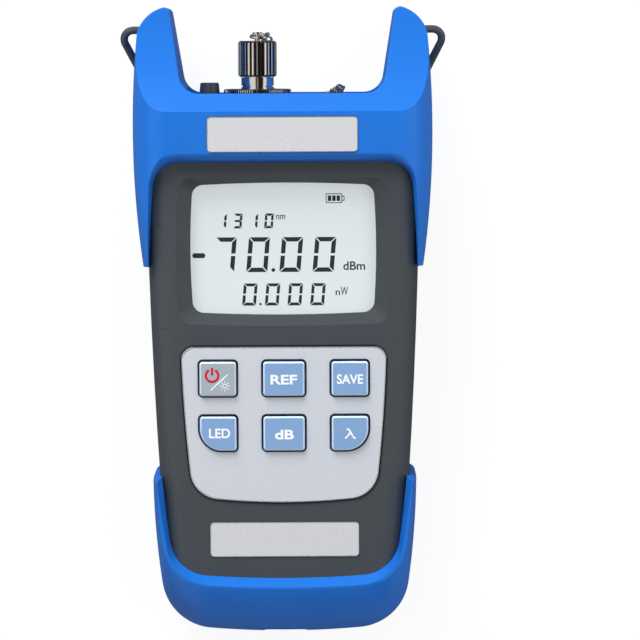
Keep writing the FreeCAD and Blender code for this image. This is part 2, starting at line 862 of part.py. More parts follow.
def arch_flare():
    """The rolled rim of the front arch, as a tool that widens towards the front."""
    rise = depth - core_front_z
    levels = [
        outline_at(arch_prism(z, z + over, grow), z)
        for z, grow in (
            (core_front_z, 0.0),
            (core_front_z + 0.55 * rise, 0.25 * arch_rim),
            (core_front_z + 0.9 * rise, 0.7 * arch_rim),
            (depth + 0.02, 1.15 * arch_rim),
        )
    ]
    return Part.makeLoft(levels, True, False)


def bail_points(side):
    """Corners of one leg of the bail, from its end in the horn to the middle of its cross bar."""
    return [
        point(side * bail_inner_half, bail_pivot_y, bail_pivot_z),
        point(side * bail_outer_half, bail_pivot_y, bail_pivot_z),
        point(side * bail_outer_half, bail_pivot_y - bail_drop, bail_pivot_z - 1.5),
        point(side * bail_channel_half, bail_channel_y, bail_bar_z),
        point(side * bail_bar_half, bail_bar_y, bail_bar_z),
    ]


def bent_wire(corners, bends, radius):
    """A round wire of straight runs joined by bends, one bend radius for each inner corner."""
    pieces = []
    last = corners[0]
    for before, corner, after, bend in zip(corners, corners[1:], corners[2:], bends):
        into, out = (corner - before).normalize(), (after - corner).normalize()
        turn = math.acos(into.dot(out))
        tangent = bend * math.tan(turn / 2)
        start, end = corner - into * tangent, corner + out * tangent
        axis = into.cross(out).normalize()
        centre = start + axis.cross(into) * bend
        disc = Part.Face(Part.Wire(Part.makeCircle(radius, start, into)))
        pieces.append(disc.revolve(centre, axis, math.degrees(turn)))
        pieces.append(Part.makeCylinder(radius, (start - last).Length, last, into))
        last = end
    run = corners[-1] - last
    pieces.append(Part.makeCylinder(radius, run.Length, last, run))
    return pieces[0].fuse(pieces[1:]).removeSplitter()


def wire_bail():
    """The wire bail in one piece, from one horn round the back to the other."""
    left = bail_points(-1)
    right = bail_points(1)
    corners = left + list(reversed(right))
    bends = [bail_bend, bail_bend, bail_leg_bend, bail_leg_bend, bail_leg_bend, bail_leg_bend, bail_bend, bail_bend]
    return bent_wire(corners, bends, bail_wire / 2)


def bail_room():
    """Room in the guard for the bail: a hole for each end and a channel for each leg, open to the back."""
    radius = bail_wire / 2 + bail_slot_gap
    room = []
    for side in (-1, 1):
        hole = Part.makeCylinder(
            bail_wire / 2 + bail_pivot_gap, bail_outer_half - bail_inner_half + bail_slot_gap,
            point(side * (bail_inner_half - bail_slot_gap), bail_pivot_y, bail_pivot_z), point(side, 0, 0),
        )
        room.append(hole)
        corners = bail_points(side)
        for start, end in ((corners[2], corners[3]), (corners[3], corners[4])):
            along = end - start
            run = Part.makeCylinder(radius, along.Length, start, along)
            across = point(along.y, -along.x).normalize() * radius
            strip = Part.Face(Part.makePolygon([
                start - across, start + across, end + across, end - across, start - across,
            ])).extrude(point(0, 0, -bail_channel_reach))
            room.extend([run, Part.makeSphere(radius, end), strip])
        joint_corner = corners[3]
        room.append(Part.makeCylinder(radius, bail_channel_reach, joint_corner, point(0, 0, -1)))
    return Part.makeCompound(room)


def boot_level(z, side_inset, bottom_inset, front_share):
    """One level of the boot as a wire; its corner and bulge pass from the boot's to the crest's."""
    corner = boot_corner + (boot_crest_corner - boot_corner) * front_share
    bulge = core_bottom_bulge + (boot_crest_bulge - core_bottom_bulge) * front_share
    solid = quad_prism(
        boot_start_y, boot_bottom_y + bottom_inset, boot_start_half - side_inset, boot_bottom_half - side_inset,
        (bulge, boot_side_bulge, 0.0), (corner, boot_arm_corner), z, z + over,
    )
    return outline_at(solid, z)


def bottom_guard():
    """The boot: rounded in at the back, widest above it, and turning over to its crest in front."""
    levels = []
    for i in range(boot_back_steps):
        angle = math.pi / 2 * i / boot_back_steps
        inset = boot_back_inset * (1 - math.sin(angle))
        levels.append(boot_level(boot_shoulder_z * (1 - math.cos(angle)), inset, inset, 0.0))
    levels.append(boot_level(boot_shoulder_z, 0.0, 0.0, 0.0))
    full_turn = math.radians(boot_front_turn)
    rise = boot_crest_z - boot_widest_z
    for i in range(boot_front_steps + 1):
        angle = full_turn * i / boot_front_steps
        share = (1 - math.cos(angle)) / (1 - math.cos(full_turn))
        height = boot_widest_z + rise * math.sin(angle) / math.sin(full_turn)
        levels.append(boot_level(height, boot_side_lean * share, (boot_crest_bottom_y - boot_bottom_y) * share, share))
    boot = Part.makeLoft(levels, True, True)
    boot = boot.cut(core_block(fit_gap))
    boot = boot.cut(boot_opening()).cut(boot_back_opening())
    slot = rounded_slot(socket_slot_width, socket_slot_height, board_bottom_z - socket_height / 2)
    return boot.cut(slot).removeSplitter()


def boot_rim_prism(low_z, high_z):
    return quad_prism(
        boot_start_y + boot_overrun, boot_rim_bottom_y,
        boot_rim_half + boot_overrun * boot_taper - boot_rim_taper_slip, boot_rim_bottom_half,
        (boot_crest_bulge, boot_rim_side_bulge, 0.0), (boot_rim_corner, 0.0), low_z, high_z,
    )


def boot_opening():
    """The opening that shows the housing's face, with its rim sloping up to the boot's crest."""
    foot_z = core_front_z + fit_gap
    straight = boot_rim_prism(core_front_z - core_front_edge, foot_z)
    crest = quad_prism(
        boot_start_y + boot_overrun, boot_crest_bottom_y + boot_crest_width,
        boot_crest_half + boot_overrun * boot_taper - boot_crest_width, boot_crest_bottom_half - boot_crest_width,
        (boot_crest_bulge, boot_side_bulge, 0.0), (boot_crest_corner - boot_crest_width, 0.0),
        boot_crest_z, boot_crest_z + over,
    )
    slope = Part.makeLoft(
        [outline_at(boot_rim_prism(foot_z, foot_z + over), foot_z), outline_at(crest, boot_crest_z)], True, True
    )
    return straight.fuse([slope, crest])


def boot_back_opening():
    """The same opening in the back, through which the housing's back and the battery cover show."""
    return boot_rim_prism(-over, core_back_z + core_back_edge)


def rounded_slot(width, height, z):
    """The slot for the charging plug through the bottom of the boot."""
    reach = core_end_y - boot_bottom_y + 2 * core_bottom_bulge + over
    box = Part.makeBox(width, reach + over, height, point(-width / 2, core_end_y - reach, z - height / 2))
    edges = [e for e in box.Edges if abs(e.Vertexes[0].Y - e.Vertexes[-1].Y) > 1.0]
    return box.makeFillet(height * 0.3, edges)


def ribbed_disc():
    """The knurled disc at the foot of the port, with fine teeth round its edge and a grooved hub."""
    profile = [
        (0.0, flange_y), (flange_radius, flange_y), (flange_radius, flange_end_y), (neck_radius, flange_end_y),
        (neck_radius, flange_end_y + 0.5), (neck_radius - neck_groove, flange_end_y + 0.5),
        (neck_radius - neck_groove, flange_end_y + 0.9), (neck_radius, flange_end_y + 0.9),
        (neck_radius, neck_end_y), (0.0, neck_end_y),
    ]
    disc = turned_along_y(profile, port_x, port_z)
    teeth = []
    for i in range(knurl_teeth):
        angle = 2 * math.pi * i / knurl_teeth
        x = port_x + (flange_radius + 0.1) * math.cos(angle)
        z = port_z + (flange_radius + 0.1) * math.sin(angle)
        tool = Part.makeBox(2 * knurl_depth, flange_thickness + 2 * over, 2 * knurl_depth)
        tool.translate(point(-knurl_depth, flange_y - over, -knurl_depth))
        tool.rotate(point(0, 0, 0), point(0, 1, 0), 45.0 - math.degrees(angle))
        tool.translate(point(x, 0, z))
        teeth.append(tool)
    disc = disc.cut(Part.makeCompound(teeth))
    return disc.cut(ring_along_y(barrel_radius + 0.02, flange_y - over, neck_end_y + over, port_x, port_z))


def fibre_adapter():
    """The turned adapter: a body behind the panel, and the barrel through the disc that the cap screws on."""
    inner_y = core_top_y - wall - 6.0
    profile = [
        (sleeve_outer + 0.02, inner_y), (adapter_body_radius, inner_y), (adapter_body_radius, flange_y - fit_gap),
        (barrel_radius, flange_y - fit_gap), (barrel_radius, barrel_end_y - 0.4),
        (barrel_radius - 0.4, barrel_end_y), (barrel_bore, barrel_end_y),
        (barrel_bore, neck_end_y - over), (sleeve_outer + 0.02, neck_end_y - over),
    ]
    return turned_along_y(profile, port_x, port_z)


def alignment_sleeve():
    """The split ceramic sleeve that lines the plug up with the detector."""
    start_y = core_top_y - wall - 5.8
    end_y = barrel_end_y - 2.0
    sleeve = ring_along_y(sleeve_outer, start_y, end_y, port_x, port_z)
    sleeve = sleeve.cut(ring_along_y(sleeve_inner, start_y - over, end_y + over, port_x, port_z))
    slit = Part.makeBox(
        sleeve_slit, end_y - start_y + 2.0, 2 * sleeve_outer,
        point(port_x - sleeve_slit / 2, start_y - over, port_z),
    )
    return sleeve.cut(slit)


def dust_cap():
    """The screw cap over the barrel, hollow, with straight flutes to grip."""
    hollow_radius = barrel_radius + thread_gap
    profile = [
        (hollow_radius, cap_start_y), (cap_radius - cap_chamfer, cap_start_y),
        (cap_radius, cap_start_y + cap_chamfer), (cap_radius, cap_end_y - cap_chamfer),
        (cap_radius - cap_chamfer, cap_end_y), (swivel_pin_radius + pin_gap, cap_end_y),
        (swivel_pin_radius + pin_gap, cap_end_y - cap_wall_top), (hollow_radius, cap_end_y - cap_wall_top),
    ]
    cap = turned_along_y(profile, port_x, port_z)
    flutes = []
    for i in range(cap_flutes):
        angle = 2 * math.pi * (i + 0.5) / cap_flutes
        reach = cap_radius + cap_flute_radius * 0.35
        flutes.append(ring_along_y(
            cap_flute_radius, cap_start_y - over, cap_end_y + over,
            port_x + reach * math.cos(angle), port_z + reach * math.sin(angle),
        ))
    return cap.cut(Part.makeCompound(flutes))


def swivel_pin():
    """The rivet in the top of the cap that the chain's ring hangs on."""
    inner_y = cap_end_y - cap_wall_top - 0.7
    outer_y = cap_end_y + 1.9
    profile = [
        (0.0, inner_y), (swivel_head_radius, inner_y), (swivel_head_radius, inner_y + 0.5),
        (swivel_pin_radius, inner_y + 0.5), (swivel_pin_radius, outer_y), (swivel_head_radius, outer_y),
        (swivel_head_radius - 0.2, outer_y + 0.5), (0.0, outer_y + 0.5),
    ]
    return turned_along_y(profile, port_x, port_z)


def cap_ring():
    """The wire ring round the rivet's neck, lying a little askew."""
    section = []
    for i in range(6):
        angle = math.pi / 3 * i
        section.append((cap_ring_radius + cap_ring_wire * math.cos(angle), cap_ring_wire * math.sin(angle)))
    ring = turned_along_y(section, 0.0, 0.0)
    ring.rotate(point(0, 0, 0), point(1, 0, 0), cap_ring_tilt)
    ring.translate(point(port_x + cap_ring_shift, cap_end_y + 3 * cap_ring_wire, port_z - cap_ring_shift))
    return ring


def chain_link(place, along, across):
    """One flat link, a rounded frame with its long side along the chain."""
    half_l, half_w, t = link_length / 2, link_width / 2, link_wire
    outer = [
        (-half_l, -half_w + 0.5), (-half_l + 0.5, -half_w), (half_l - 0.5, -half_w), (half_l, -half_w + 0.5),
        (half_l, half_w - 0.5), (half_l - 0.5, half_w), (-half_l + 0.5, half_w), (-half_l, half_w - 0.5),
    ]
    inner = [(u - math.copysign(t, u), v - math.copysign(t, v)) for u, v in (
        (-half_l, -half_w), (half_l, -half_w), (half_l, half_w), (-half_l, half_w))]
    normal = along.cross(across)
    wires = []
    for loop in (outer, inner):
        corners = [place + along * u + across * v - normal * (t / 2) for u, v in loop]
        wires.append(Part.Wire(Part.makePolygon(corners + corners[:1])))
    return Part.Face(wires).extrude(normal * t)


def chain_route():
    """The chain's way from the cap's ring, down behind the port, and across to its screw."""
    corners = [
        point(port_x + 1.2, cap_end_y + 1.6, port_z - 3.8),
        point(port_x + 1.6, cap_end_y - over, port_z - 7.8),
        point(port_x + 1.8, cap_end_y - 6.5, port_z - 9.6),
        point(port_x + 3.0, flange_end_y + 0.6, port_z - 11.6),
        point(port_x + 9.5, core_top_y + 1.8, port_z - 11.2),
        point(port_x + 17.0, core_top_y + 1.9, port_z - 7.0),
        point(anchor_x - 0.6, core_top_y + 3.2, port_z - 3.6),
    ]
    route = Part.BSplineCurve()
    route.interpolate(corners)
    return route.toShape()


def cap_chain():
    """Links along the route, each turned a quarter against the last."""
    route = chain_route()
    count = int(route.Length / link_pitch)
    places = route.discretize(Number=count + 1)
    links = []
    for i in range(count):
        start, end = places[i], places[i + 1]
        along = (end - start).normalize()
        side = along.cross(point(0.3, 0.2, 1.0)).normalize()
        other = along.cross(side).normalize()
        turn = math.radians(45.0 + 90.0 * (i % 2))
        across = side * math.cos(turn) + other * math.sin(turn)
        links.append(chain_link((start + end) * 0.5, along, across))
    return Part.makeCompound(links)


def anchor_screw():
    """The small screw in the top panel that holds the chain's last link."""
    head_y = core_top_y + anchor_reach
    profile = [
        (0.0, core_top_y - 2 * wall), (anchor_radius * 0.5, core_top_y - 2 * wall),
        (anchor_radius * 0.5, core_top_y + 0.05), (anchor_radius, core_top_y + 0.05),
        (anchor_radius, core_top_y + anchor_collar), (anchor_radius * 0.5, core_top_y + anchor_collar),
        (anchor_radius * 0.5, head_y), (anchor_radius, head_y), (anchor_radius * 0.8, head_y + anchor_head),
        (0.0, head_y + anchor_head),
    ]
    return turned_along_y(profile, anchor_x, port_z)


def torch():
    """The torch: a black tapered bezel in the top panel with a clear lamp in its mouth."""
    foot_y = core_top_y - wall - 2.0
    top_y = core_top_y + torch_height
    hollow = torch_led_radius + 0.05
    profile = [
        (hollow, foot_y), (torch_base_radius, foot_y), (torch_base_radius, core_top_y + torch_collar),
        (torch_top_radius, top_y - 0.3), (torch_top_radius - 0.3, top_y), (torch_led_radius + torch_lip, top_y),
        (hollow, top_y - torch_mouth),
    ]
    save("torch_bezel", turned_along_y(profile, torch_x, port_z))
    lamp = ring_along_y(torch_led_radius, foot_y + 0.5, top_y - 2.2, torch_x, port_z)
    dome = Part.makeSphere(torch_led_radius, point(torch_x, top_y - 2.2, port_z))
    save("torch_lamp", lamp.fuse(dome).removeSplitter())


def detector():
    """The light detector in its can, and the block that holds it to the adapter."""
    can_end = core_top_y - wall - 6.1
    can = ring_along_y(detector_radius, can_end - detector_length, can_end, port_x, port_z)
    save("detector_can", can)
    block_start = can_end - detector_length - detector_floor
    block_end = can_end + 3 * detector_overlap
    half = detector_block / 2
    block_top = board_bottom_z - fit_gap
    block = Part.makeBox(
        detector_block, block_end - block_start, block_top - port_z + half,
        point(port_x - half, block_start, port_z - half),
    )
    block = block.cut(ring_along_y(detector_radius + 0.05, can_end - detector_length, depth * 3, port_x, port_z))
    block = block.cut(ring_along_y(adapter_body_radius + 0.05, can_end + 0.05, depth * 3, port_x, port_z))
    save("detector_block", block)


def label_plates():
    for name, y, front in (("top_label_plate", top_label_y, depth), ("bottom_label_plate", bottom_label_y, core_front_z)):
        low_z = front - label_thickness + label_proud
        save(name, label_prism(y, low_z, front + label_proud, 0.0))


def build():
    os.makedirs("parts", exist_ok=True)
    save("front_shell", front_shell())
    save("rear_shell", rear_shell())
    display()
    save("key_plate", key_plate())
    for key in key_layout():
        save(key[0], make_key(key))
    save("keypad_mat", keypad_mat())
    save("tact_switches", tact_switches())
    save("main_board", main_board())
    save("board_chips", board_chips())
    charging_socket()
    battery()
    save("shell_screws", shell_screws())
    save("top_guard", top_guard())
    save("wire_bail", wire_bail())
    save("bottom_guard", bottom_guard())
    label_plates()
    save("port_disc", ribbed_disc())
    save("fibre_adapter", fibre_adapter())
    save("alignment_sleeve", alignment_sleeve())
    save("dust_cap", dust_cap())
    save("swivel_pin", swivel_pin())
    save("cap_ring", cap_ring())
    save("cap_chain", cap_chain())
    save("chain_screw", anchor_screw())
    torch()
    detector()


build()
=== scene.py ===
"""Looks of a handheld optical power meter: finishes, legends, display figures, fine metalwork and stage."""
import json
import math

import bmesh
import bpy
import numpy as np
from bpy.props import FloatProperty, FloatVectorProperty, IntProperty, PointerProperty
from mathutils import Euler, Matrix, Vector

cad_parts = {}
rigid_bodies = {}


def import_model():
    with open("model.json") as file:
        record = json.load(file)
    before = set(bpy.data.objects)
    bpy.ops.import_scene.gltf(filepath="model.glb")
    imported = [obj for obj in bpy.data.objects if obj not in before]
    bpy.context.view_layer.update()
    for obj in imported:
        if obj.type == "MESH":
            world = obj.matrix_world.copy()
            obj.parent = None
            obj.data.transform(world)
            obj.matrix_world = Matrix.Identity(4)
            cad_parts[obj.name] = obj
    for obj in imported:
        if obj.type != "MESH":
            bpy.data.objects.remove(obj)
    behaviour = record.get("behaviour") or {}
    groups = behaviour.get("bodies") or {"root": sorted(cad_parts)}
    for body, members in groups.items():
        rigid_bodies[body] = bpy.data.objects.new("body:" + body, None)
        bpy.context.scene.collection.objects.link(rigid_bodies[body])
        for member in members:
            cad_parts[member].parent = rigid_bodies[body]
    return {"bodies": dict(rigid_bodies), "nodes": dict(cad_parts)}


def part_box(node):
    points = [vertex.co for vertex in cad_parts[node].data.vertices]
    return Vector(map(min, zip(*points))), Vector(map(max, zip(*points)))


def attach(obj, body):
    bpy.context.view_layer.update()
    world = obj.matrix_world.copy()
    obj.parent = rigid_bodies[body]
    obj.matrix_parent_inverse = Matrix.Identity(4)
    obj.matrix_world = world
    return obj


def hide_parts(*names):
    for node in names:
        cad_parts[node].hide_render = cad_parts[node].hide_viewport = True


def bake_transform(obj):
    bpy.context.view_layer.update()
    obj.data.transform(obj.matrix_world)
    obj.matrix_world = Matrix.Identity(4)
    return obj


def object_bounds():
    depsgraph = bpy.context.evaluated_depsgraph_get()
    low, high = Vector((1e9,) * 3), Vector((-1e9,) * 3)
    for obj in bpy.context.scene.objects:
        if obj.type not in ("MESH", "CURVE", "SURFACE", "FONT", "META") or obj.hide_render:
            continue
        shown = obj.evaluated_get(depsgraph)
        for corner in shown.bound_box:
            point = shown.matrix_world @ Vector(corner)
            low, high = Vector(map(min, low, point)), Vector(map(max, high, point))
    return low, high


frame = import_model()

bl_info = {
    "name": "Optical power meter",
    "version": (1, 0, 0),
    "blender": (4, 5, 0),
    "location": "View3D > Sidebar > Meter",
    "description": "Finishes, legends, display figures and fine metalwork of a handheld optical power meter",
    "category": "Object",
}

mm = 0.001
cad_low, cad_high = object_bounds()
weld_reach = 0.001 * mm
doubles_reach = 0.002 * mm
level_slip = 0.01 * mm
crease_angle = math.radians(28)
fine_crease_angle = math.radians(35)
round_steps = 2


def tone(red, green, blue):
    """A colour given in the 0 to 255 steps of a screen, as the linear values that shaders take."""
    parts = (red / 255, green / 255, blue / 255)
    return tuple(c / 12.92 if c <= 0.04045 else ((c + 0.055) / 1.055) ** 2.4 for c in parts)


def shade(name, description, red, green, blue):
    """A colour that a user can change, given in the steps of a screen."""
    return FloatVectorProperty(
        name=name, description=description, subtype="COLOR", size=3, min=0.0, max=1.0,
        default=tone(red, green, blue),
    )


def span(name, description, millimetres):
    """A length that a user can change, given in millimetres."""
    return FloatProperty(
        name=name, description=description, unit="LENGTH", subtype="DISTANCE", precision=5,
        min=0.0, default=millimetres * mm,
    )


class MeterColours(bpy.types.PropertyGroup):
    """Colours of the meter's materials."""

    guard: shade("Guard", "Blue of the top guard and the boot", 20, 109, 205)
    housing: shade("Housing", "Grey of the housing", 63, 68, 73)
    blue_key: shade("Blue keys", "Light blue of five keys", 128, 162, 204)
    grey_key: shade("Grey key", "Grey of the power key", 160, 172, 182)
    key_plate: shade("Key plate", "Silver of the plate round the keys", 226, 231, 240)
    label: shade("Labels", "Silver of the two bare label plates", 228, 229, 232)
    screen: shade("Screen", "Pale ground of the display", 213, 221, 221)
    figures: shade("Figures", "Ink of the display's figures", 12, 14, 24)
    legend: shade("Legends", "White of the keys' legends", 245, 247, 250)
    power_sign: shade("Power sign", "Red of the sign on the power key", 205, 12, 22)
    nickel: shade("Nickel", "Plating of the fibre port", 214, 210, 204)
    steel: shade("Steel", "Screws and the socket's shell", 176, 178, 182)
    black_wire: shade("Wire", "Dark coating of the wire bail", 78, 83, 90)
    rubber: shade("Rubber", "Black rubber of gasket and mat", 24, 25, 27)
    board: shade("Board", "Green of the circuit board", 18, 84, 52)


class MeterSizes(bpy.types.PropertyGroup):
    """Sizes of the pieces that are added to the built parts."""

    ink_height: span("Ink height", "How far printed figures stand up", 0.06)
    legend_height: span("Legend height", "How far the keys' legends stand up", 0.05)
    figure_gap: span("Figure gap", "Gap between two bars of one of the widest figures", 0.30)
    figure_lean: FloatProperty(
        name="Figure lean", description="Sideways lean of the display's figures", subtype="ANGLE",
        unit="ROTATION", default=math.radians(5.0),
    )
    plate_bead: span("Plate bead", "Radius of the bright edge round the key plate", 0.16)
    # The plate seal is a black bead of painted shade in the gap round the key plate
    plate_gap_shade: span("Plate seal", "Radius of the black seal in the gap round the key plate", 0.2)
    label_bead: span("Label bead", "Radius of the bright edge round each label", 0.13)
    link_wire: span("Link wire", "Radius of the wire of the chain's links", 0.35)
    tooth_depth: span("Tooth depth", "Depth of the disc's teeth", 0.26)
    thread_pitch: span("Thread pitch", "Pitch of the thread on the barrel", 0.75)
    thread_depth: span("Thread depth", "How far the thread stands out of the barrel", 0.3)
    # Flute depth sets only how deep the painted shade reaches into the dust cap's flutes
    flute_shade_depth: span("Flute depth", "Depth of the dust cap's flutes, which are blackened", 0.27)
    hub_groove: span("Hub groove", "Depth of the groove round the knurled disc's hub", 0.35)
    disc_teeth: IntProperty(name="Disc teeth", description="Teeth round the knurled disc", default=84, min=12)


# Working in edit mode


def start_alone():
    """Leaves edit mode with nothing selected, so that the next tool acts on its own piece only."""
    if bpy.context.object and bpy.context.object.mode != "OBJECT":
        bpy.ops.object.mode_set(mode="OBJECT")
    bpy.ops.object.select_all(action="DESELECT")


def hold(piece):
    """Selects one piece and makes it the active one."""
    start_alone()
    piece.select_set(True)
    bpy.context.view_layer.objects.active = piece


def edit(piece, kind="FACE"):
    """Opens one piece in edit mode with nothing on it selected."""
    hold(piece)
    bpy.ops.object.mode_set(mode="EDIT")
    bpy.ops.mesh.select_mode(type=kind)
    bpy.ops.mesh.select_all(action="DESELECT")


def pick(piece, kind, test):
    """In edit mode, selects what lies where a test on its middle says; a face's test also gets its normal."""
    bpy.ops.mesh.select_all(action="DESELECT")
    bpy.ops.mesh.select_mode(type=kind)
    mesh = bmesh.from_edit_mesh(piece.data)
    if kind == "VERT":
        for vertex in mesh.verts:
            vertex.select = test(vertex.co)
    elif kind == "EDGE":
        for side in mesh.edges:
            side.select = test((side.verts[0].co + side.verts[1].co) / 2, side)
    else:
        for face in mesh.faces:
            face.select = test(face.calc_center_median(), face.normal)
    mesh.select_flush_mode()
    bmesh.update_edit_mesh(piece.data)


def pick_all():
    """In edit mode, selects the whole piece."""
    bpy.ops.mesh.select_all(action="SELECT")


def draw_up(height):
    """In edit mode, extrudes straight up what is selected."""
    bpy.ops.mesh.extrude_region_move(TRANSFORM_OT_translate={"value": (0, 0, height)})


def finish_edit():
    """Leaves edit mode and gives back the piece that was in it."""
    bpy.ops.object.mode_set(mode="OBJECT")
    return bpy.context.object


def moved(piece, x, y, z=0.0):
    """Moves a piece's mesh, and gives the piece back."""
    piece.data.transform(Matrix.Translation((x, y, z)))
    return piece


def copy_of(piece, matrix):
    """A copy with its own mesh, carried to its place by a matrix."""
    twin = piece.copy()
    twin.data = piece.data.copy()
    twin.data.transform(matrix)
    bpy.context.collection.objects.link(twin)
    return twin


def join(pieces, name):
    """Makes several pieces one."""
    hold(pieces[0])
    for piece in pieces:
        piece.select_set(True)
    bpy.ops.object.join()
    joined = bpy.context.object
    joined.name = name
    joined.data.name = name
    return joined


def coat(piece, finish):
    """Gives a piece one material in place of those that it has."""
    piece.data.materials.clear()
    piece.data.materials.append(finish)


def settle(piece, name, finish, body):
    """Names a piece, puts its place into its mesh, gives it its finish and lets it ride on a body."""
    hold(piece)
    bpy.ops.object.transform_apply(location=True, rotation=True, scale=True)
    piece.name = name
    piece.data.name = name
    coat(piece, finish)
    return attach(piece, body)


def remove(piece):
    """Takes away a helper piece."""
    bpy.data.objects.remove(piece, do_unlink=True)


def face_outwards(piece):
    """Merges a closed piece's doubles, turns its faces outwards and gives it back."""
    edit(piece, "VERT")
    pick_all()
    bpy.ops.mesh.remove_doubles(threshold=doubles_reach)
    bpy.ops.mesh.normals_make_consistent(inside=False)
    return finish_edit()


def welded_copy(node):
    """A copy of a built part's mesh with its corners merged, to take outlines from."""
    start_alone()
    twin = copy_of(frame["nodes"][node], Matrix.Identity(4))
    twin.parent = None
    twin.matrix_world = Matrix.Identity(4)
    for key in list(twin.keys()):
        if key.startswith("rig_"):
            del twin[key]
    return face_outwards(twin)


# Finishes


def new_finish(name, base, roughness, metallic=0.0):
    """A material with its even values on the shader's own sockets, its node tree and its shader."""
    finish = bpy.data.materials.new(name)
    finish.use_nodes = True
    skin = finish.node_tree.nodes["Principled BSDF"]
    skin.inputs["Base Color"].default_value = (*base, 1.0)
    skin.inputs["Roughness"].default_value = roughness
    skin.inputs["Metallic"].default_value = metallic
    finish.diffuse_color = (*base, 1.0)
    return finish, finish.node_tree, skin


def add_node(tree, kind, feeds, **settings):
    """Adds a node, feeds its sockets with values or other nodes' outputs, and gives its outputs."""
    node = tree.nodes.new(kind)
    for name, value in settings.items():
        setattr(node, name, value)
    for socket, value in feeds.items():
        if isinstance(value, bpy.types.NodeSocket):
            tree.links.new(value, node.inputs[socket])
        else:
            node.inputs[socket].default_value = value
    return node.outputs


def place_node(tree, stretch=(1.0, 1.0, 1.0), shift=(0.0, 0.0, 0.0)):
    """Object coordinates, stretched for streaks and then shifted."""
    source = add_node(tree, "ShaderNodeTexCoord", {})["Object"]
    feeds = {"Vector": source, "Scale": stretch, "Location": shift}
    return add_node(tree, "ShaderNodeMapping", feeds)["Vector"]


def blended(tree, fac, first, second):
    """The colour a share of the way from one to another; each is a colour or a node's output."""
    ends = [c if isinstance(c, bpy.types.NodeSocket) else (*c, 1.0) for c in (first, second)]
    return add_node(tree, "ShaderNodeMix", {0: fac, 6: ends[0], 7: ends[1]}, data_type="RGBA")[2]


def rescaled(tree, value, start, end, low=0.0, high=1.0):
    """A value that runs from start to end, laid out from low to high."""
    levels = {"From Min": start, "From Max": end, "To Min": low, "To Max": high}
    return add_node(tree, "ShaderNodeMapRange", {"Value": value, **levels})["Result"]


def parted(tree, vector):
    """A vector's X, Y and Z one by one."""
    return add_node(tree, "ShaderNodeSeparateXYZ", {"Vector": vector})


def ramped(tree, value, stops):
    """The colour of a value on a ramp, given as places and colours in order."""
    node = tree.nodes.new("ShaderNodeValToRGB")
    tree.links.new(value, node.inputs["Fac"])
    elements = node.color_ramp.elements
    elements[0].position = stops[0][0]
    elements[1].position = stops[-1][0]
    for place, colour in stops[1:-1]:
        elements.new(place)
    for stop, (place, colour) in zip(elements, stops):
        stop.color = (*colour, 1.0)
    return node.outputs["Color"]


def base_source(skin):
    """What now feeds a shader's base colour."""
    return skin.inputs["Base Color"].links[0].from_socket


def paint_over(tree, skin, fac, first, second):
    """Feeds a shader's base colour with a blend of two colours."""
    tree.links.new(blended(tree, fac, first, second), skin.inputs["Base Color"])


def noise(tree, size, stretch=(1.0, 1.0, 1.0), detail=3.0):
    """Noise whose grain has about a given size in metres."""
    feeds = {"Vector": place_node(tree, stretch), "Scale": 1.0 / size, "Detail": detail}
    return add_node(tree, "ShaderNodeTexNoise", feeds)["Fac"]


def vary_base(tree, skin, base, fac, amount):
    """Lets the base colour drift a little darker and lighter round its tone."""
    darker = [c * (1.0 - amount) for c in base]
    lighter = [min(1.0, c * (1.0 + amount)) for c in base]
    paint_over(tree, skin, fac, darker, lighter)


def vary_roughness(tree, skin, low, high, fac):
    """Lets the roughness drift between two values with the middle of a noise."""
    tree.links.new(rescaled(tree, fac, 0.3, 0.7, low, high), skin.inputs["Roughness"])


def raise_grain(tree, skin, fac, strength, height):
    """Bumps the surface by a noise."""
    feeds = {"Height": fac, "Strength": strength, "Distance": height}
    tree.links.new(add_node(tree, "ShaderNodeBump", feeds)["Normal"], skin.inputs["Normal"])


def moulded(name, base, roughness, grain=0.25 * mm, relief=0.25, drift=0.05):
    """Moulded plastic: fine spark-eroded grain, a slow drift of tone, and patches a little glossier."""
    finish, tree, skin = new_finish(name, base, roughness)
    raise_grain(tree, skin, noise(tree, grain), relief, height=0.02 * mm)
    vary_base(tree, skin, base, noise(tree, size=18 * mm), drift)
    vary_roughness(tree, skin, roughness * 0.88, roughness * 1.12, noise(tree, size=7 * mm))
    return finish


def plated(name, base, roughness, stretch=(1.0, 1.0, 1.0), relief=0.12):
    """Metal or plating with fine streaks along the way that it was turned or drawn."""
    finish, tree, skin = new_finish(name, base, roughness, metallic=1.0)
    streaks = noise(tree, 0.35 * mm, stretch, detail=2.0)
    raise_grain(tree, skin, streaks, relief, height=0.01 * mm)
    vary_base(tree, skin, base, noise(tree, size=3 * mm), amount=0.04)
    vary_roughness(tree, skin, roughness * 0.7, roughness * 1.4, streaks)
    return finish


def sparkled(name, base, roughness, flake):
    """Silver lacquer or film: pale metal flakes of a given size in a satin coat."""
    finish, tree, skin = new_finish(name, base, roughness, metallic=0.35)
    flakes = add_node(tree, "ShaderNodeTexVoronoi", {"Vector": place_node(tree), "Scale": 1.0 / flake})
    grey = add_node(tree, "ShaderNodeSeparateColor", {"Color": flakes["Color"]})
    vary_base(tree, skin, base, grey["Red"], amount=0.06)
    raise_grain(tree, skin, grey["Green"], strength=0.06, height=0.01 * mm)
    return finish


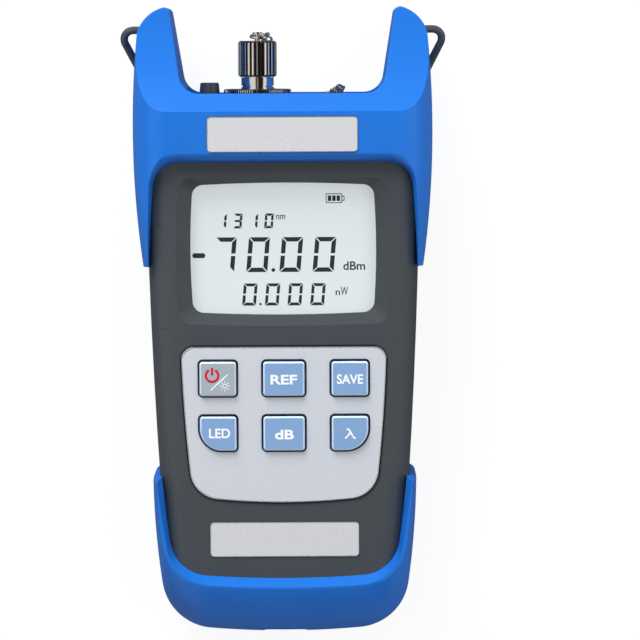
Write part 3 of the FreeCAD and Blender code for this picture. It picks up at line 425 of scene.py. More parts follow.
def groove_shaded(name, base, roughness, node, depth):
    """Polished plating with painted shade that darkens its grooves, of a given depth, round a node's turning
    axis.
    """
    finish = plated(name, base, roughness, stretch=(1.0, 0.08, 1.0), relief=0.03)
    tree = finish.node_tree
    skin = tree.nodes["Principled BSDF"]
    low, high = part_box(node)
    middle, radius = (low + high) / 2, (high.x - low.x) / 2
    from_axis = place_node(tree, (1.0, 0.0, 1.0), (-middle.x, 0.0, -middle.z))
    reach = add_node(tree, "ShaderNodeVectorMath", {0: from_axis}, operation="LENGTH")["Value"]
    share = rescaled(tree, reach, radius - 2 * depth, radius)
    # Place from the grooves' inner wall to the surface, and how much of the plating's colour shows there; the
    # rest is painted shade
    stops = ((0.3, 1.0), (0.36, 0.0), (0.62, 0.0), (0.85, 1.0))
    bright = ramped(tree, share, [(place, (level, level, level)) for place, level in stops])
    # Painted shade: near black in the bottom of the grooves
    paint_over(tree, skin, bright, tone(14, 14, 18), base_source(skin))
    return finish


def clear(name, base, roughness, cover):
    """Clear plastic that lets most light through and keeps a sharp gloss."""
    finish, tree, skin = new_finish(name, base, roughness)
    skin.inputs["Alpha"].default_value = cover
    skin.inputs["Coat Weight"].default_value = 1.0
    skin.inputs["Coat Roughness"].default_value = 0.03
    raise_grain(tree, skin, noise(tree, size=6 * mm), strength=0.02, height=0.01 * mm)
    finish.surface_render_method = "BLENDED"
    return finish


def printed(name, base, roughness=0.5):
    """Printing ink with a faint unevenness."""
    finish, tree, skin = new_finish(name, base, roughness)
    vary_base(tree, skin, base, noise(tree, size=0.4 * mm), amount=0.06)
    return finish


def dress(nodes, finish):
    """Gives built parts a finish and rounds their shading."""
    for name in nodes:
        part = frame["nodes"][name]
        coat(part, finish)
        hold(part)
        bpy.ops.object.shade_smooth()
        weld = part.modifiers.new("weld", "WELD")
        weld.merge_threshold = weld_reach
        split = part.modifiers.new("split", "EDGE_SPLIT")
        split.split_angle = crease_angle
        even = part.modifiers.new("even", "WEIGHTED_NORMAL")
        even.keep_sharp = True


# Shapes that several pieces share


def round_wire(name, points, radius, resolution, closed=False):
    """A round wire as a mesh, along points that have X, Y, Z and a share of the radius."""
    line = bpy.data.curves.new(name, "CURVE")
    line.dimensions = "3D"
    path = line.splines.new("POLY")
    path.points.add(len(points) - 1)
    for place, (x, y, z, share) in zip(path.points, points):
        place.co = (x, y, z, 1.0)
        place.radius = share
    path.use_cyclic_u = closed
    line.bevel_depth = radius
    line.bevel_resolution = resolution
    line.use_fill_caps = True
    piece = bpy.data.objects.new(name, line)
    bpy.context.collection.objects.link(piece)
    hold(piece)
    bpy.ops.object.convert(target="MESH")
    return bpy.context.object


def stroke(points, width, height, closed=False):
    """A flat rounded stroke of ink or paint, its points and width in millimetres, as a mesh."""
    places = [(x * mm, y * mm, 0.0, 1.0) for x, y in points]
    piece = round_wire("stroke", places, width * mm / 2, round_steps, closed)
    piece.data.transform(Matrix.Diagonal((1.0, 1.0, 2.0 * height / (width * mm), 1.0)))
    return piece


def plate(width, height):
    """A flat rectangle round the origin."""
    start_alone()
    bpy.ops.mesh.primitive_plane_add(size=1.0)
    piece = bpy.context.object
    piece.data.transform(Matrix.Diagonal((width, height, 1.0, 1.0)))
    return piece


def raised(piece, height):
    """Gives a flat piece its height."""
    edit(piece)
    pick_all()
    draw_up(height)
    return face_outwards(piece)


def pulled_out(piece, reach):
    """Sets a piece's left and right halves further apart, and gives it back."""
    edit(piece, "VERT")
    for side in (-1, 1):
        pick(piece, "VERT", lambda c: c.x * side > 0.001 * mm)
        bpy.ops.transform.translate(value=(side * reach, 0, 0))
    return finish_edit()


def distances(node, middle):
    """How far each corner of a built part is from an axis along Y, and its level."""
    twin = welded_copy(node)
    spots = [(math.hypot(v.co.x - middle.x, v.co.z - middle.z), v.co.y) for v in twin.data.vertices]
    remove(twin)
    return spots


def ring_points(middle, radius, start, end, count):
    """Points round a circle between two angles in degrees."""
    steps = [math.radians(start + (end - start) * i / (count - 1)) for i in range(count)]
    return [(middle[0] + radius * math.cos(a), middle[1] + radius * math.sin(a)) for a in steps]


def lettering(words, width, height, thickness, bold=0.0):
    """Words set in a plain face, made a mesh, and fitted to a width and a height about their middle."""
    start_alone()
    bpy.ops.object.text_add()
    piece = bpy.context.object
    piece.data.body = words
    piece.data.offset = bold
    piece.data.extrude = 0.5
    bpy.ops.object.convert(target="MESH")
    piece = bpy.context.object
    corners = np.array([v.co for v in piece.data.vertices])
    low, high = corners.min(0), corners.max(0)
    middle = (low + high) / 2
    fit = Matrix.Diagonal((width / (high[0] - low[0]), height / (high[1] - low[1]), thickness, 1.0))
    piece.data.transform(fit @ Matrix.Translation(-Vector(middle)))
    return piece


def edge_bead(node, radius, outermost):
    """A fine round bead along the outer edge of a plate's top face."""
    twin = welded_copy(node)
    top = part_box(node)[1].z
    edit(twin, "EDGE")

    def on_rim(middle, side):
        tops = [face for face in side.link_faces if face.normal.z > 0.9]
        return abs(middle.z - top) < level_slip and len(tops) == 1 and outermost(middle)

    pick(twin, "EDGE", on_rim)
    bpy.ops.mesh.select_all(action="INVERT")
    bpy.ops.mesh.delete(type="EDGE")
    pick_all()
    bpy.ops.mesh.delete(type="ONLY_FACE")
    finish_edit()
    bpy.ops.object.convert(target="CURVE")
    line = bpy.context.object
    line.data.bevel_depth = radius
    line.data.bevel_resolution = round_steps
    bpy.ops.object.convert(target="MESH")
    bead = face_outwards(bpy.context.object)
    bpy.ops.object.shade_smooth()
    return bead


# Display figures

# Bars: t top, m middle, b bottom, u upper right, r lower right, l upper left, p lower left
bars_lit = {"0": "tulrbp", "1": "ur", "3": "turmb", "7": "tur"}
# In millimetres, as the rows of figures are
widest_figure = 6.1


def figure(width, height, thickness, lit, sizes):
    """One seven-bar figure: a plate inset to a frame, parted at half height, its bars set apart."""
    piece = plate(width, height)
    edit(piece)
    pick_all()
    bpy.ops.mesh.inset(thickness=thickness)
    pick(piece, "FACE", lambda middle, normal: middle.length < thickness / 4)
    bpy.ops.mesh.delete(type="FACE")
    waist = 0.12 * thickness
    for level in (-waist, waist):
        pick_all()
        bpy.ops.mesh.bisect(plane_co=(0, level, 0), plane_no=(0, 1, 0))
    pick(piece, "FACE", lambda middle, normal: abs(middle.y) < waist)
    bpy.ops.mesh.delete(type="FACE")
    pick_all()
    bpy.ops.mesh.edge_split(type="EDGE")
    pick_all()
    gap = sizes.figure_gap * width / (widest_figure * mm)
    bpy.ops.mesh.inset(thickness=gap / 2, use_individual=True)
    bpy.ops.mesh.select_all(action="INVERT")
    bpy.ops.mesh.delete(type="FACE")
    side = width / 2 - thickness
    half = height / 2 - thickness
    wanted = {
        "t": lambda c: c.y > half,
        "b": lambda c: c.y < -half,
        "u": lambda c: c.x > side and 0 < c.y < half,
        "r": lambda c: c.x > side and -half < c.y < 0,
        "l": lambda c: c.x < -side and 0 < c.y < half,
        "p": lambda c: c.x < -side and -half < c.y < 0,
    }
    pick(piece, "FACE", lambda middle, normal: not any(wanted[bar](middle) for bar in lit if bar in wanted))
    bpy.ops.mesh.delete(type="FACE")
    finish_edit()
    parts = [piece]
    if "m" in lit:
        slim = 0.72 * thickness
        parts.append(dash(width - thickness, slim))
    piece = raised(join(parts, "figure"), sizes.ink_height)
    lean = Matrix.Identity(4)
    lean[0][1] = math.tan(sizes.figure_lean)
    piece.data.transform(lean)
    return piece


def dash(length, thickness):
    """A level bar with pointed ends, still flat."""
    start_alone()
    bpy.ops.mesh.primitive_circle_add(
        vertices=6, radius=thickness / math.sqrt(3), fill_type="NGON", rotation=(0, 0, math.radians(30))
    )
    bpy.ops.object.transform_apply(location=False, rotation=True, scale=False)
    return pulled_out(bpy.context.object, length / 2 - thickness / math.sqrt(3))


def dot(radius, height):
    """A decimal point."""
    start_alone()
    bpy.ops.mesh.primitive_circle_add(vertices=16, radius=radius, fill_type="NGON")
    return raised(bpy.context.object, height)


class METER_OT_display_figures(bpy.types.Operator):
    """Prints the reading, the wavelength and the battery sign under the display's window"""

    bl_idname = "meter.display_figures"
    bl_label = "Display figures"

    def execute(self, context):
        sizes = context.scene.meter_sizes
        rise = sizes.ink_height
        made = []
        # figures, height, width, bar, pitch, first figure's X, row's Y, and the point's X, Y and radius
        rows = (
            ("70.00", 9.9, widest_figure, 1.5, 9.14, -16.1, 19.25, (-2.8, 15.0, 0.53)),
            ("1310", 4.2, 2.5, 0.78, 4.3, -16.8, 28.56, None),
            ("0.000", 6.3, 4.0, 1.0, 6.26, -9.3, 8.25, (-6.4, 5.6, 0.34)),
        )
        for text, height, width, thick, pitch, first_x, y, point in rows:
            for column, letter in enumerate(text.replace(".", "")):
                digit = figure(width * mm, height * mm, thick * mm, bars_lit[letter], sizes)
                made.append(moved(digit, (first_x + pitch * column) * mm, y * mm))
            if point:
                made.append(moved(dot(point[2] * mm, rise), point[0] * mm, point[1] * mm))
        minus = raised(dash(3.7 * mm, 1.35 * mm), rise)
        made.append(moved(minus, -23.3 * mm, 19.05 * mm))
        # letters, width, height, X, Y, boldness
        units = (
            ("dBm", 6.0, 2.35, 19.5, 16.1, 0.014),
            ("nm", 2.5, 1.2, -0.7, 29.6, 0.008),
            ("n", 1.2, 1.3, 14.95, 8.6, 0.008),
            ("W", 2.0, 2.3, 16.75, 9.1, 0.008),
        )
        for words, width, height, x, y, bold in units:
            unit = lettering(words, width * mm, height * mm, rise, bold)
            made.append(moved(unit, x * mm, y * mm, rise / 2))
        made.extend(self.battery_sign(rise))
        piece = moved(join(made, "display_figures"), 0, 0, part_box("lcd_glass")[1].z)
        ink = printed("lcd_ink", context.scene.meter_colours.figures, roughness=0.35)
        settle(piece, "display_figures", ink, "root")
        return {"FINISHED"}

    def battery_sign(self, rise):
        """An outline with a nub and three bars inside."""
        wide, tall, line = 4.3, 2.45, 0.3
        corners = [(-wide / 2, -tall / 2), (wide / 2, -tall / 2), (wide / 2, tall / 2), (-wide / 2, tall / 2)]
        parts = [stroke(corners, line, rise, closed=True)]
        nub = [(wide / 2, 0.55), (wide / 2 + 0.65, 0.55)]
        nub += [(x, -y) for x, y in reversed(nub)]
        parts.append(stroke(nub, line, rise))
        for i in (-1, 0, 1):
            bar = raised(plate(0.95 * mm, 1.5 * mm), rise)
            parts.append(moved(bar, i * 1.2 * mm, 0))
        return [moved(part, 14.0 * mm, 34.7 * mm) for part in parts]


# Legends on the keys


class METER_OT_key_legends(bpy.types.Operator):
    """Prints the words and signs on the six keys"""

    bl_idname = "meter.key_legends"
    bl_label = "Key legends"

    def execute(self, context):
        rise = context.scene.meter_sizes.legend_height
        colours = context.scene.meter_colours
        white = printed("legend_white", colours.legend, roughness=0.45)
        # key, letters, width, height, offset in X and in Y, boldness
        words = (
            ("ref_key", "REF", 7.3, 2.65, 0.0, -0.25, 0.028),
            ("save_key", "SAVE", 7.2, 2.65, 0.05, -0.2, 0.022),
            ("led_key", "LED", 5.8, 2.65, 0.4, 0.1, 0.022),
            ("db_key", "dB", 5.2, 2.65, 0.1, -0.3, 0.03),
        )
        for node, text, width, height, x, y, bold in words:
            piece = lettering(text, width * mm, height * mm, rise, bold)
            self.put(piece, node, x, y, rise / 2, white, "legend_" + node[:-4])
        self.put(self.lambda_sign(rise), "wavelength_key", 0.1, -0.25, 0.0, white, "legend_wavelength")
        red = printed("legend_red", colours.power_sign, roughness=0.4)
        self.put(self.power_sign(rise), "power_key", -1.55, 0.95, 0.0, red, "legend_power")
        self.put(self.lamp_sign(rise), "power_key", 0.0, 0.0, 0.0, white, "legend_lamp")
        return {"FINISHED"}

    def put(self, piece, node, x, y, z, finish, name):
        """Carries a sign to the middle of a key's top, plus an offset in millimetres."""
        low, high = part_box(node)
        middle = (low + high) / 2
        moved(piece, middle.x + x * mm, middle.y + y * mm, high.z + z)
        body = next(b for b, empty in frame["bodies"].items() if frame["nodes"][node].parent is empty)
        settle(piece, name, finish, body)

    def lambda_sign(self, rise):
        """The sign for wavelength, of two strokes."""
        long_leg = [(-1.05, 1.25), (-0.55, 1.3), (-0.25, 1.0), (0.85, -0.95), (1.15, -1.2), (1.5, -1.15)]
        short_leg = [(0.05, 0.45), (-1.35, -1.25)]
        return join([stroke(leg, 0.5, rise) for leg in (long_leg, short_leg)], "lambda_sign")

    def power_sign(self, rise):
        """An open ring with a bar in its gap."""
        line = 0.66
        ring = stroke(ring_points((0, 0), 1.72, 120, 420, 25), line, rise)
        bar = stroke([(0, 0.05), (0, 2.15)], line, rise)
        return join([ring, bar], "power_sign")

    def lamp_sign(self, rise):
        """A slash, and below it a small ring with eight rays."""
        slash = stroke([(-1.95, -3.1), (2.7, 1.15)], 0.34, rise)
        x, y, line = 1.95, -1.95, 0.2
        parts = [slash, stroke(ring_points((x, y), 0.55, 0, 345, 16), line, rise, closed=True)]
        for turn in range(0, 360, 45):
            a = math.radians(turn)
            ray = [(x + r * math.cos(a), y + r * math.sin(a)) for r in (0.85, 1.4)]
            parts.append(stroke(ray, line, rise))
        return join(parts, "lamp_sign")


# Bright edges of plates


class METER_OT_plate_edges(bpy.types.Operator):
    """Lays a bright bead along the edges of the key plate and the two labels"""

    bl_idname = "meter.plate_edges"
    bl_label = "Plate edges"

    def execute(self, context):
        sizes = context.scene.meter_sizes
        bright = plated("edge_bright", tone(238, 240, 244), 0.3)
        room_below, room_round = 2 * mm, 0.4 * mm
        keys_low = min(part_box(key)[0].y for key in ("led_key", "db_key")) - room_below
        keys_high = max(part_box(key)[1].y for key in ("ref_key", "power_key")) + room_round
        keys_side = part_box("save_key")[1].x - room_round

        def outside_keys(c):
            return c.y < keys_low or c.y > keys_high or abs(c.x) > keys_side

        bead = edge_bead("key_plate", sizes.plate_bead, outside_keys)
        self.spread(bead, "key_plate", outwards=-1.25 * sizes.plate_bead, upwards=0.0)
        settle(bead, "key_plate_edge", bright, "root")
        # Painted shade: a black bead fills the gap round the key plate
        gap_shade = edge_bead("key_plate", sizes.plate_gap_shade, outside_keys)
        radius = sizes.plate_gap_shade
        self.spread(gap_shade, "key_plate", outwards=0.6 * radius, upwards=-0.5 * radius)
        settle(gap_shade, "key_plate_gap_shade", moulded("gap_shade_black", tone(8, 9, 12), 0.6), "root")
        for label in ("top_label_plate", "bottom_label_plate"):
            bead = edge_bead(label, sizes.label_bead, lambda c: True)
            settle(bead, label.replace("plate", "edge"), bright, "root")
        return {"FINISHED"}

    def spread(self, bead, node, outwards, upwards):
        """Moves a bead outwards all round from the middle of its plate, and up."""
        low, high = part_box(node)
        middle, half = (low + high) / 2, (high - low) / 2
        there = Matrix.Translation((middle.x, middle.y, upwards))
        grow = Matrix.Diagonal((1 + outwards / half.x, 1 + outwards / half.y, 1.0, 1.0))
        bead.data.transform(there @ grow @ Matrix.Translation((-middle.x, -middle.y, 0.0)))


# Fine metalwork of the port


class METER_OT_cap_chain(bpy.types.Operator):
    """Replaces the plain chain with round-wire oval links in the same places"""

    bl_idname = "meter.cap_chain"
    bl_label = "Cap chain"

    def execute(self, context):
        wire = context.scene.meter_sizes.link_wire
        link = self.oval_link(wire, length=3.0 * mm, width=2.1 * mm)
        places = self.link_places() + self.loose_places()
        links = [copy_of(link, place) for place in places]
        remove(link)
        chain = join(links, "chain_links")
        bpy.ops.object.shade_smooth()
        finish = plated("chain_nickel", context.scene.meter_colours.nickel, 0.16)
        coat(chain, finish)
        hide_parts("cap_chain")
        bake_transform(chain)
        return {"FINISHED"}

    def oval_link(self, wire, length, width):
        """A round-wire ring pulled out to an oval along X."""
        start_alone()
        bpy.ops.mesh.primitive_torus_add(
            major_radius=width / 2 - wire, minor_radius=wire, major_segments=20, minor_segments=8
        )
        return pulled_out(bpy.context.object, (length - width) / 2)

    def loose_places(self):
        """The two links that hang in the cap's ring, and the bunch at the screw."""
        ring_low, ring_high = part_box("cap_ring")
        ring_middle = (ring_low + ring_high) / 2
        ring = Vector((ring_high.x - 0.5 * mm, ring_middle.y, ring_middle.z))
        screw_low, screw_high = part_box("chain_screw")
        screw = Vector(((screw_low.x + screw_high.x) / 2, screw_high.y - 0.4 * mm, screw_high.z + 0.3 * mm))
        # where it hangs, how far from there in millimetres, its turns in degrees
        spots = (
            (ring, (-0.5, 0.1, 0.9), (60, 0, 35)), (ring, (0.3, -0.6, 0.4), (20, 30, -40)),
            (screw, (-0.9, -0.2, -0.4), (70, 10, 20)), (screw, (0.6, 0.3, 0.1), (30, 40, -30)),
            (screw, (1.2, -0.5, -0.8), (80, -20, 60)), (screw, (-0.1, -0.7, 0.6), (10, 50, 5)),
        )
        places = []
        for spot, shift, degrees in spots:
            turn = Euler([math.radians(angle) for angle in degrees]).to_matrix().to_4x4()
            places.append(Matrix.Translation(spot + Vector(shift) * mm) @ turn)
        return places

    def link_places(self):
        """One matrix for each link of the built chain: along its length, its width and its thickness."""
        twin = welded_copy("cap_chain")
        edit(twin, "VERT")
        pick_all()
        bpy.ops.mesh.separate(type="LOOSE")
        finish_edit()
        places = []
        for part in list(bpy.context.selected_objects):
            corners = np.array([v.co for v in part.data.vertices])
            middle = corners.mean(0)
            axes = np.linalg.eigh(np.cov((corners - middle).T))[1]
            along, across = Vector(axes[:, 2]), Vector(axes[:, 1])
            up = along.cross(across)
            turn = Matrix((along, across, up)).transposed().to_4x4()
            places.append(Matrix.Translation(Vector(middle)) @ turn)
            remove(part)
        return sorted(places, key=lambda place: place.translation.y)


class METER_OT_knurled_disc(bpy.types.Operator):
    """Replaces the disc at the foot of the port with one that has fine rounded teeth"""

    bl_idname = "meter.knurled_disc"
    bl_label = "Knurled disc"

    def execute(self, context):
        sizes = context.scene.meter_sizes
        low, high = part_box("port_disc")
        middle = (low + high) / 2
        radius, rim_top, hub_radius, bore = self.built_sizes(middle, high)
        ring = self.toothed_ring(radius, hub_radius - sizes.tooth_depth, rim_top - low.y, sizes)
        turn = Matrix.Rotation(math.radians(-90), 4, "X")
        ring.data.transform(Matrix.Translation((middle.x, low.y, middle.z)) @ turn)
        self.dish_rims(ring, low.y, middle, radius, sizes.tooth_depth)
        hub = self.turned_hub(hub_radius, bore, high.y - rim_top, sizes.hub_groove)
        hub.data.transform(Matrix.Translation((middle.x, rim_top, middle.z)) @ turn)
        disc = join([ring, hub], "knurled_disc")
        bpy.ops.object.shade_smooth_by_angle(angle=fine_crease_angle)
        nickel = context.scene.meter_colours.nickel
        # Painted shade darkens the valleys between the disc's teeth
        finish = groove_shaded("disc_nickel", nickel, 0.1, "port_disc", sizes.tooth_depth)
        settle(disc, "knurled_disc", finish, "root")
        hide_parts("port_disc")
        return {"FINISHED"}

    def built_sizes(self, middle, high):
        """The built disc's radius, the level of its rim, and the radii of its hub and of its bore."""
        spots = distances("port_disc", middle)
        radius = max(spot[0] for spot in spots)
        rim_top = max(spot[1] for spot in spots if spot[0] > radius - 1.0 * mm)
        end_face = [spot[0] for spot in spots if spot[1] > high.y - level_slip]
        return radius, rim_top, max(end_face), min(end_face)

    def turned_hub(self, radius, bore, height, groove):
        """The hub as a lathe leaves it, on the ground plane: a wall with a groove, an end face and a bore."""
        start_alone()
        bpy.ops.mesh.primitive_circle_add(vertices=96, radius=radius, fill_type="NOTHING")
        hub = bpy.context.object
        edit(hub, "EDGE")
        pick_all()
        foot, width, inner = 0.5 * mm, 0.4 * mm, 1 - groove / radius
        steps = (
            (foot, 1.0), (0.0, inner), (width, 1.0), (0.0, 1 / inner), (height - foot - width, 1.0),
            (0.0, bore / radius), (-height, 1.0), (0.0, radius / bore),
        )
        for rise, factor in steps:
            draw_up(rise)
            bpy.ops.transform.resize(value=(factor, factor, 1), center_override=(0, 0, 0))
        return face_outwards(hub)

    def toothed_ring(self, radius, hole, thickness, sizes):
        """A flat ring on the ground plane with teeth round its edge."""
        teeth, depth = sizes.disc_teeth, sizes.tooth_depth
        start_alone()
        bpy.ops.mesh.primitive_circle_add(vertices=4 * teeth, radius=radius, fill_type="NGON")
        disc = bpy.context.object
        edit(disc, "VERT")

        def in_valley(c):
            step = math.atan2(c.y, c.x) / (2 * math.pi) * 4 * teeth
            return round(step) % 4 in (2, 3)

        pick(disc, "VERT", in_valley)
        bpy.ops.transform.resize(value=(1 - depth / radius, 1 - depth / radius, 1), center_override=(0, 0, 0))
        bpy.ops.mesh.select_mode(type="FACE")
        pick_all()
        for factor in (1 - 2 * depth / radius, hole / (radius - 2 * depth)):
            bpy.ops.mesh.inset(thickness=level_slip)
            bpy.ops.transform.resize(value=(factor, factor, 1), center_override=(0, 0, 0))
        bpy.ops.mesh.delete(type="FACE")
        pick_all()
        draw_up(thickness)
        return face_outwards(disc)

    def dish_rims(self, disc, foot, middle, radius, depth):
        """Slopes both rims of the teeth inwards, as a turned chamfer does."""
        for vertex in disc.data.vertices:
            out = Vector((vertex.co.x - middle.x, 0, vertex.co.z - middle.z))
            if out.length > radius - 1.3 * depth:
                vertex.co.y += depth * (1 if abs(vertex.co.y - foot) < depth else -1)


class METER_OT_barrel_thread(bpy.types.Operator):
    """Winds the fine thread round the barrel that the dust cap screws on to"""

    bl_idname = "meter.barrel_thread"
    bl_label = "Barrel thread"

    def execute(self, context):
        sizes = context.scene.meter_sizes
        low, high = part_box("fibre_adapter")
        lead_in, run_out, sunk = 0.8 * mm, 0.9 * mm, 0.05 * mm
        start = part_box("dust_cap")[0].y + lead_in
        middle = (low + high) / 2
        radius = max(spot[0] for spot in distances("fibre_adapter", middle) if spot[1] > start)
        steps = 28
        count = int((high.y - run_out - start) / sizes.thread_pitch * steps)
        points = []
        for i in range(count):
            angle = 2 * math.pi * i / steps
            fade = max(0.05, min(1.0, i / steps, (count - 1 - i) / steps))
            x, z = (radius - sunk) * math.cos(angle), (radius - sunk) * math.sin(angle)
            points.append((middle.x + x, start + sizes.thread_pitch * i / steps, middle.z + z, fade))
        piece = round_wire("thread", points, sizes.thread_depth + sunk, resolution=1)
        bpy.ops.object.shade_smooth()
        finish = plated("thread_nickel", context.scene.meter_colours.nickel, 0.2)
        settle(piece, "barrel_thread", finish, "root")
        return {"FINISHED"}


# Finishes of the built parts


class METER_OT_housing_finish(bpy.types.Operator):
    """Gives the grey shells and the battery cover their grained finish"""

    bl_idname = "meter.housing_finish"
    bl_label = "Housing finish"

    def execute(self, context):
        colours = context.scene.meter_colours
        shell = moulded("housing_grey", colours.housing, 0.55, grain=0.3 * mm, relief=0.35)
        dress(["front_shell", "rear_shell"], shell)
        dress(["battery_cover"], moulded("cover_grey", colours.housing, 0.5, relief=0.3))
        dress(["lcd_frame"], moulded("carrier_white", tone(222, 224, 222), 0.5))
        dress(["detector_block"], moulded("block_black", tone(30, 31, 34), 0.5))
        return {"FINISHED"}


class METER_OT_guard_finish(bpy.types.Operator):
    """Gives the top guard and the boot their satin blue"""

    bl_idname = "meter.guard_finish"
    bl_label = "Guard finish"

    def execute(self, context):
        base = context.scene.meter_colours.guard
        blue = moulded("guard_blue", base, 0.42, grain=0.18 * mm, relief=0.12, drift=0.03)
        dress(["top_guard", "bottom_guard"], blue)
        return {"FINISHED"}


class METER_OT_key_finish(bpy.types.Operator):
    """Gives the keys, their plate and the parts under them their finishes"""

    bl_idname = "meter.key_finish"
    bl_label = "Key finish"

    def execute(self, context):
        colours = context.scene.meter_colours
        # The second colour of each key is a painted highlight on its bevel
        blue = self.highlit_shaded_key("key_blue", colours.blue_key, tone(206, 226, 250))
        dress(["ref_key", "save_key", "led_key", "db_key", "wavelength_key"], blue)
        dress(["power_key"], self.highlit_shaded_key("key_grey", colours.grey_key, tone(214, 222, 230)))
        dress(["key_plate"], sparkled("plate_silver", colours.key_plate, 0.4, flake=0.12 * mm))
        label = sparkled("label_silver", colours.label, 0.45, flake=0.2 * mm)
        dress(["top_label_plate", "bottom_label_plate"], label)
        rubber = moulded("rubber_black", colours.rubber, 0.7, grain=0.4 * mm, relief=0.2)
        dress(["keypad_mat", "window_gasket"], rubber)
        dress(["tact_switches"], moulded("switch_black", tone(34, 34, 37), 0.4))
        return {"FINISHED"}

    def highlit_shaded_key(self, name, base, edge):
        """Satin key paint with a painted highlight on its bevelled edge, and near black sides that are
        painted shade of the gap round the key.
        """
        finish = moulded(name, base, 0.38, grain=0.2 * mm, relief=0.08, drift=0.03)
        tree = finish.node_tree
        skin = tree.nodes["Principled BSDF"]
        height = parted(tree, place_node(tree))["Z"]
        facing_up = parted(tree, add_node(tree, "ShaderNodeNewGeometry", {})["True Normal"])["Z"]
        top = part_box("ref_key")[1].z
        bevel_foot, bevel_whole = top - 0.50 * mm, top - 0.44 * mm
        near_top = rescaled(tree, height, bevel_foot, bevel_whole)
        sloping = rescaled(tree, facing_up, 0.995, 0.9)
        skirt_shade = rescaled(tree, facing_up, 0.25, 0.15)
        # Painted highlight: the bevel is painted a lighter colour
        bevel = add_node(tree, "ShaderNodeMath", {0: near_top, 1: sloping}, operation="MULTIPLY")["Value"]
        paint = blended(tree, bevel, base_source(skin), edge)
        # Painted shade: the key's upright sides are near black
        paint_over(tree, skin, skirt_shade, paint, tone(12, 13, 16))
        return finish


class METER_OT_display_finish(bpy.types.Operator):
    """Gives the window, the display glass and the light panel their finishes"""

    bl_idname = "meter.display_finish"
    bl_label = "Display finish"

    def execute(self, context):
        screen = context.scene.meter_colours.screen
        dress(["display_window"], clear("window_clear", tone(235, 242, 244), 0.05, cover=0.012))
        # Painted light: the display glass glows with its pale colour so that it looks evenly lit in spite of
        # the shade of the window's recess, and its lit base is dimmed to match
        reflected, lit = 0.42, 0.68
        dim = tuple(reflected * level for level in screen)
        finish, tree, skin = new_finish("lcd_glass", dim, roughness=0.35)
        vary_base(tree, skin, dim, noise(tree, size=12 * mm), amount=0.02)
        skin.inputs["Emission Color"].default_value = (*screen, 1.0)
        skin.inputs["Emission Strength"].default_value = lit
        dress(["lcd_glass"], finish)
        panel, tree, skin = new_finish("light_panel", tone(238, 240, 236), roughness=0.3)
        raise_grain(tree, skin, noise(tree, size=0.8 * mm), strength=0.3, height=0.05 * mm)
        dress(["backlight_panel"], panel)
        return {"FINISHED"}


class METER_OT_metal_finish(bpy.types.Operator):
    """Gives the port, the cap, the chain's ring, the bail and the screws their metals"""

    bl_idname = "meter.metal_finish"
    bl_label = "Metal finish"

    def execute(self, context):
        colours = context.scene.meter_colours
        depth = context.scene.meter_sizes.flute_shade_depth
        # The dust cap's flutes get painted shade
        dress(["dust_cap"], groove_shaded("cap_nickel", colours.nickel, 0.12, "dust_cap", depth))
        nickel = plated("port_nickel", colours.nickel, 0.1, relief=0.03)
        dress(["fibre_adapter", "port_disc", "swivel_pin", "cap_ring", "cap_chain", "chain_screw"], nickel)
        steel = plated("plated_steel", colours.steel, 0.3)
        dress(["shell_screws", "battery_cover_screw", "charging_socket"], steel)
        dress(["detector_can"], plated("detector_metal", tone(196, 190, 176), 0.3))
        wire, tree, skin = new_finish("black_wire", colours.black_wire, roughness=0.4, metallic=0.25)
        raise_grain(tree, skin, noise(tree, size=0.5 * mm), strength=0.15, height=0.02 * mm)
        vary_base(tree, skin, colours.black_wire, noise(tree, size=4 * mm), amount=0.12)
        dress(["wire_bail"], wire)
        return {"FINISHED"}


class METER_OT_inside_finish(bpy.types.Operator):
    """Gives the board, the cell, the torch and the other inner parts their finishes"""

    bl_idname = "meter.inside_finish"
    bl_label = "Inside finish"

    def execute(self, context):
        colours = context.scene.meter_colours
        board = moulded("board_green", colours.board, 0.35, grain=0.5 * mm, relief=0.15, drift=0.12)
        dress(["main_board"], board)
        dress(["board_chips", "socket_tongue"], moulded("chip_black", tone(26, 26, 28), 0.45))
        dress(["battery_cell"], sparkled("cell_silver", tone(186, 188, 192), 0.35, flake=0.6 * mm))
        ceramic = moulded("ceramic_white", tone(238, 236, 230), 0.25, grain=0.6 * mm, relief=0.03)
        dress(["alignment_sleeve"], ceramic)
        torch = moulded("torch_black", tone(56, 61, 74), 0.28, grain=0.3 * mm, relief=0.05)
        dress(["torch_bezel"], torch)
        dress(["torch_lamp"], clear("lamp_clear", tone(225, 232, 240), 0.06, cover=0.45))
        return {"FINISHED"}


# Stage


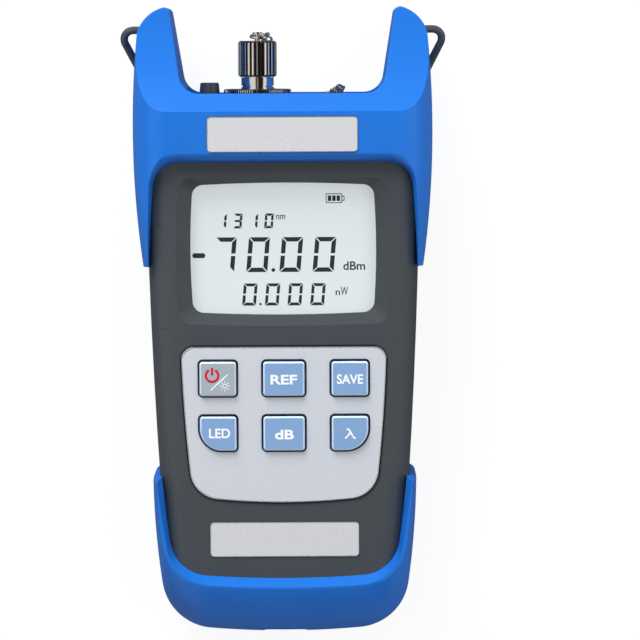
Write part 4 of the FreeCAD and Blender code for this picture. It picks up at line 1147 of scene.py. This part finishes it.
class METER_OT_stage(bpy.types.Operator):
    """Sets the pale floor, the soft studio light and the camera"""

    bl_idname = "meter.stage"
    bl_label = "Stage"

    def execute(self, context):
        self.floor()
        self.surroundings(context.scene)
        self.lamps()
        self.camera(context.scene)
        context.scene.view_settings.view_transform = "Standard"
        return {"FINISHED"}

    def floor(self):
        """A pale floor that the camera sees white, apart from the meter's shadow on it."""
        start_alone()
        bpy.ops.mesh.primitive_plane_add(size=6.0, location=(0, 0, 0))
        floor = bpy.context.object
        floor.name = "floor"
        pale, dark, glow = (0.82, 0.82, 0.82), (0.14, 0.14, 0.14), 0.88
        finish, tree, skin = new_finish("floor_pale", pale, roughness=0.8)
        path = add_node(tree, "ShaderNodeLightPath", {})
        to_camera, glossy = path["Is Camera Ray"], path["Is Glossy Ray"]
        seen = add_node(tree, "ShaderNodeMath", {0: to_camera, 1: glossy}, operation="MAXIMUM")["Value"]
        vary_base(tree, skin, pale, noise(tree, size=0.3), amount=0.005)
        paint_over(tree, skin, seen, base_source(skin), dark)
        strength = rescaled(tree, to_camera, 0.0, 1.0, 0.0, glow)
        skin.inputs["Emission Color"].default_value = (1.0, 1.0, 1.0, 1.0)
        tree.links.new(strength, skin.inputs["Emission Strength"])
        floor.data.materials.append(finish)

    def surroundings(self, scene):
        """An even pale room, in which glossy pieces see a dark ceiling between two warm bright walls."""
        world = bpy.data.worlds.new("studio")
        scene.world = world
        world.use_nodes = True
        tree = world.node_tree
        room = tree.nodes["Background"]
        room.inputs["Strength"].default_value = 1.0
        path = add_node(tree, "ShaderNodeLightPath", {})
        even = blended(tree, path["Is Camera Ray"], (0.36, 0.37, 0.39), (1.0, 1.0, 1.0))
        sideways = parted(tree, add_node(tree, "ShaderNodeTexCoord", {})["Generated"])["X"]
        # Place from the left to the right of the room, and how bright it is there
        stops = (
            (0.0, 0.02), (0.05, 0.05), (0.08, 0.9), (0.36, 1.0), (0.41, 0.03), (0.45, 0.03), (0.48, 0.3),
            (0.53, 0.3), (0.57, 0.02), (0.82, 0.02), (0.86, 1.1), (0.95, 1.0), (0.98, 0.04), (1.0, 0.02),
        )
        warm = [(place, (level, 0.96 * level, 0.9 * level)) for place, level in stops]
        walls = ramped(tree, rescaled(tree, sideways, -1.0, 1.0), warm)
        both = blended(tree, path["Is Glossy Ray"], even, walls)
        tree.links.new(both, room.inputs["Color"])

    def lamps(self):
        """Two large soft lamps, which glossy pieces don't mirror."""
        middle = (cad_low + cad_high) / 2
        # name, place from the meter's middle, size, power
        lamps = (
            ("key_lamp", (-0.35, 1.05, 0.6), 0.7, 18.5),
            ("fill_lamp", (0.6, 0.1, 0.9), 0.7, 4.0),
        )
        for name, place, size, power in lamps:
            data = bpy.data.lights.new(name, "AREA")
            data.size = size
            data.energy = power
            lamp = bpy.data.objects.new(name, data)
            lamp.visible_glossy = False
            lamp.location = middle + Vector(place)
            lamp.rotation_euler = (-Vector(place)).to_track_quat("-Z", "Y").to_euler()
            bpy.context.collection.objects.link(lamp)

    def camera(self, scene):
        """Looks down on the lying meter from a little way towards its horns."""
        distance = 0.9
        tilt = math.radians(4.7)
        roll = math.radians(0.28)
        seen_width = 178.56 * mm
        target = Vector((10.0 * mm, 0.3 * mm, 20.0 * mm))
        back = Vector((0, math.sin(tilt), math.cos(tilt)))
        right = Vector((math.sin(roll), math.cos(roll), 0)).cross(back).normalized()
        up = back.cross(right)
        turn = Matrix((right, up, back)).transposed().to_4x4()
        data = bpy.data.cameras.new("camera")
        data.sensor_width = 36.0
        data.lens = data.sensor_width * distance / seen_width
        data.clip_start = 0.01
        camera = bpy.data.objects.new("camera", data)
        camera.matrix_world = Matrix.Translation(target + back * distance) @ turn
        bpy.context.collection.objects.link(camera)
        scene.camera = camera


operators = (
    METER_OT_housing_finish,
    METER_OT_guard_finish,
    METER_OT_key_finish,
    METER_OT_display_finish,
    METER_OT_metal_finish,
    METER_OT_inside_finish,
    METER_OT_display_figures,
    METER_OT_key_legends,
    METER_OT_plate_edges,
    METER_OT_cap_chain,
    METER_OT_knurled_disc,
    METER_OT_barrel_thread,
    METER_OT_stage,
)


class METER_PT_pieces(bpy.types.Panel):
    """Lists the meter's pieces"""

    bl_label = "Power meter"
    bl_idname = "METER_PT_pieces"
    bl_space_type = "VIEW_3D"
    bl_region_type = "UI"
    bl_category = "Meter"

    def draw(self, context):
        for operator in operators:
            self.layout.operator(operator.bl_idname)


classes = (MeterColours, MeterSizes, *operators, METER_PT_pieces)


def register():
    """Adds the meter's tools and values."""
    for item in classes:
        bpy.utils.register_class(item)
    bpy.types.Scene.meter_colours = PointerProperty(type=MeterColours)
    bpy.types.Scene.meter_sizes = PointerProperty(type=MeterSizes)


def unregister():
    """Takes them away again."""
    del bpy.types.Scene.meter_sizes
    del bpy.types.Scene.meter_colours
    for item in reversed(classes):
        bpy.utils.unregister_class(item)


def main():
    """Makes every piece in order."""
    register()
    for operator in operators:
        group, name = operator.bl_idname.split(".")
        getattr(getattr(bpy.ops, group), name)()


if __name__ == "__main__":
    main()
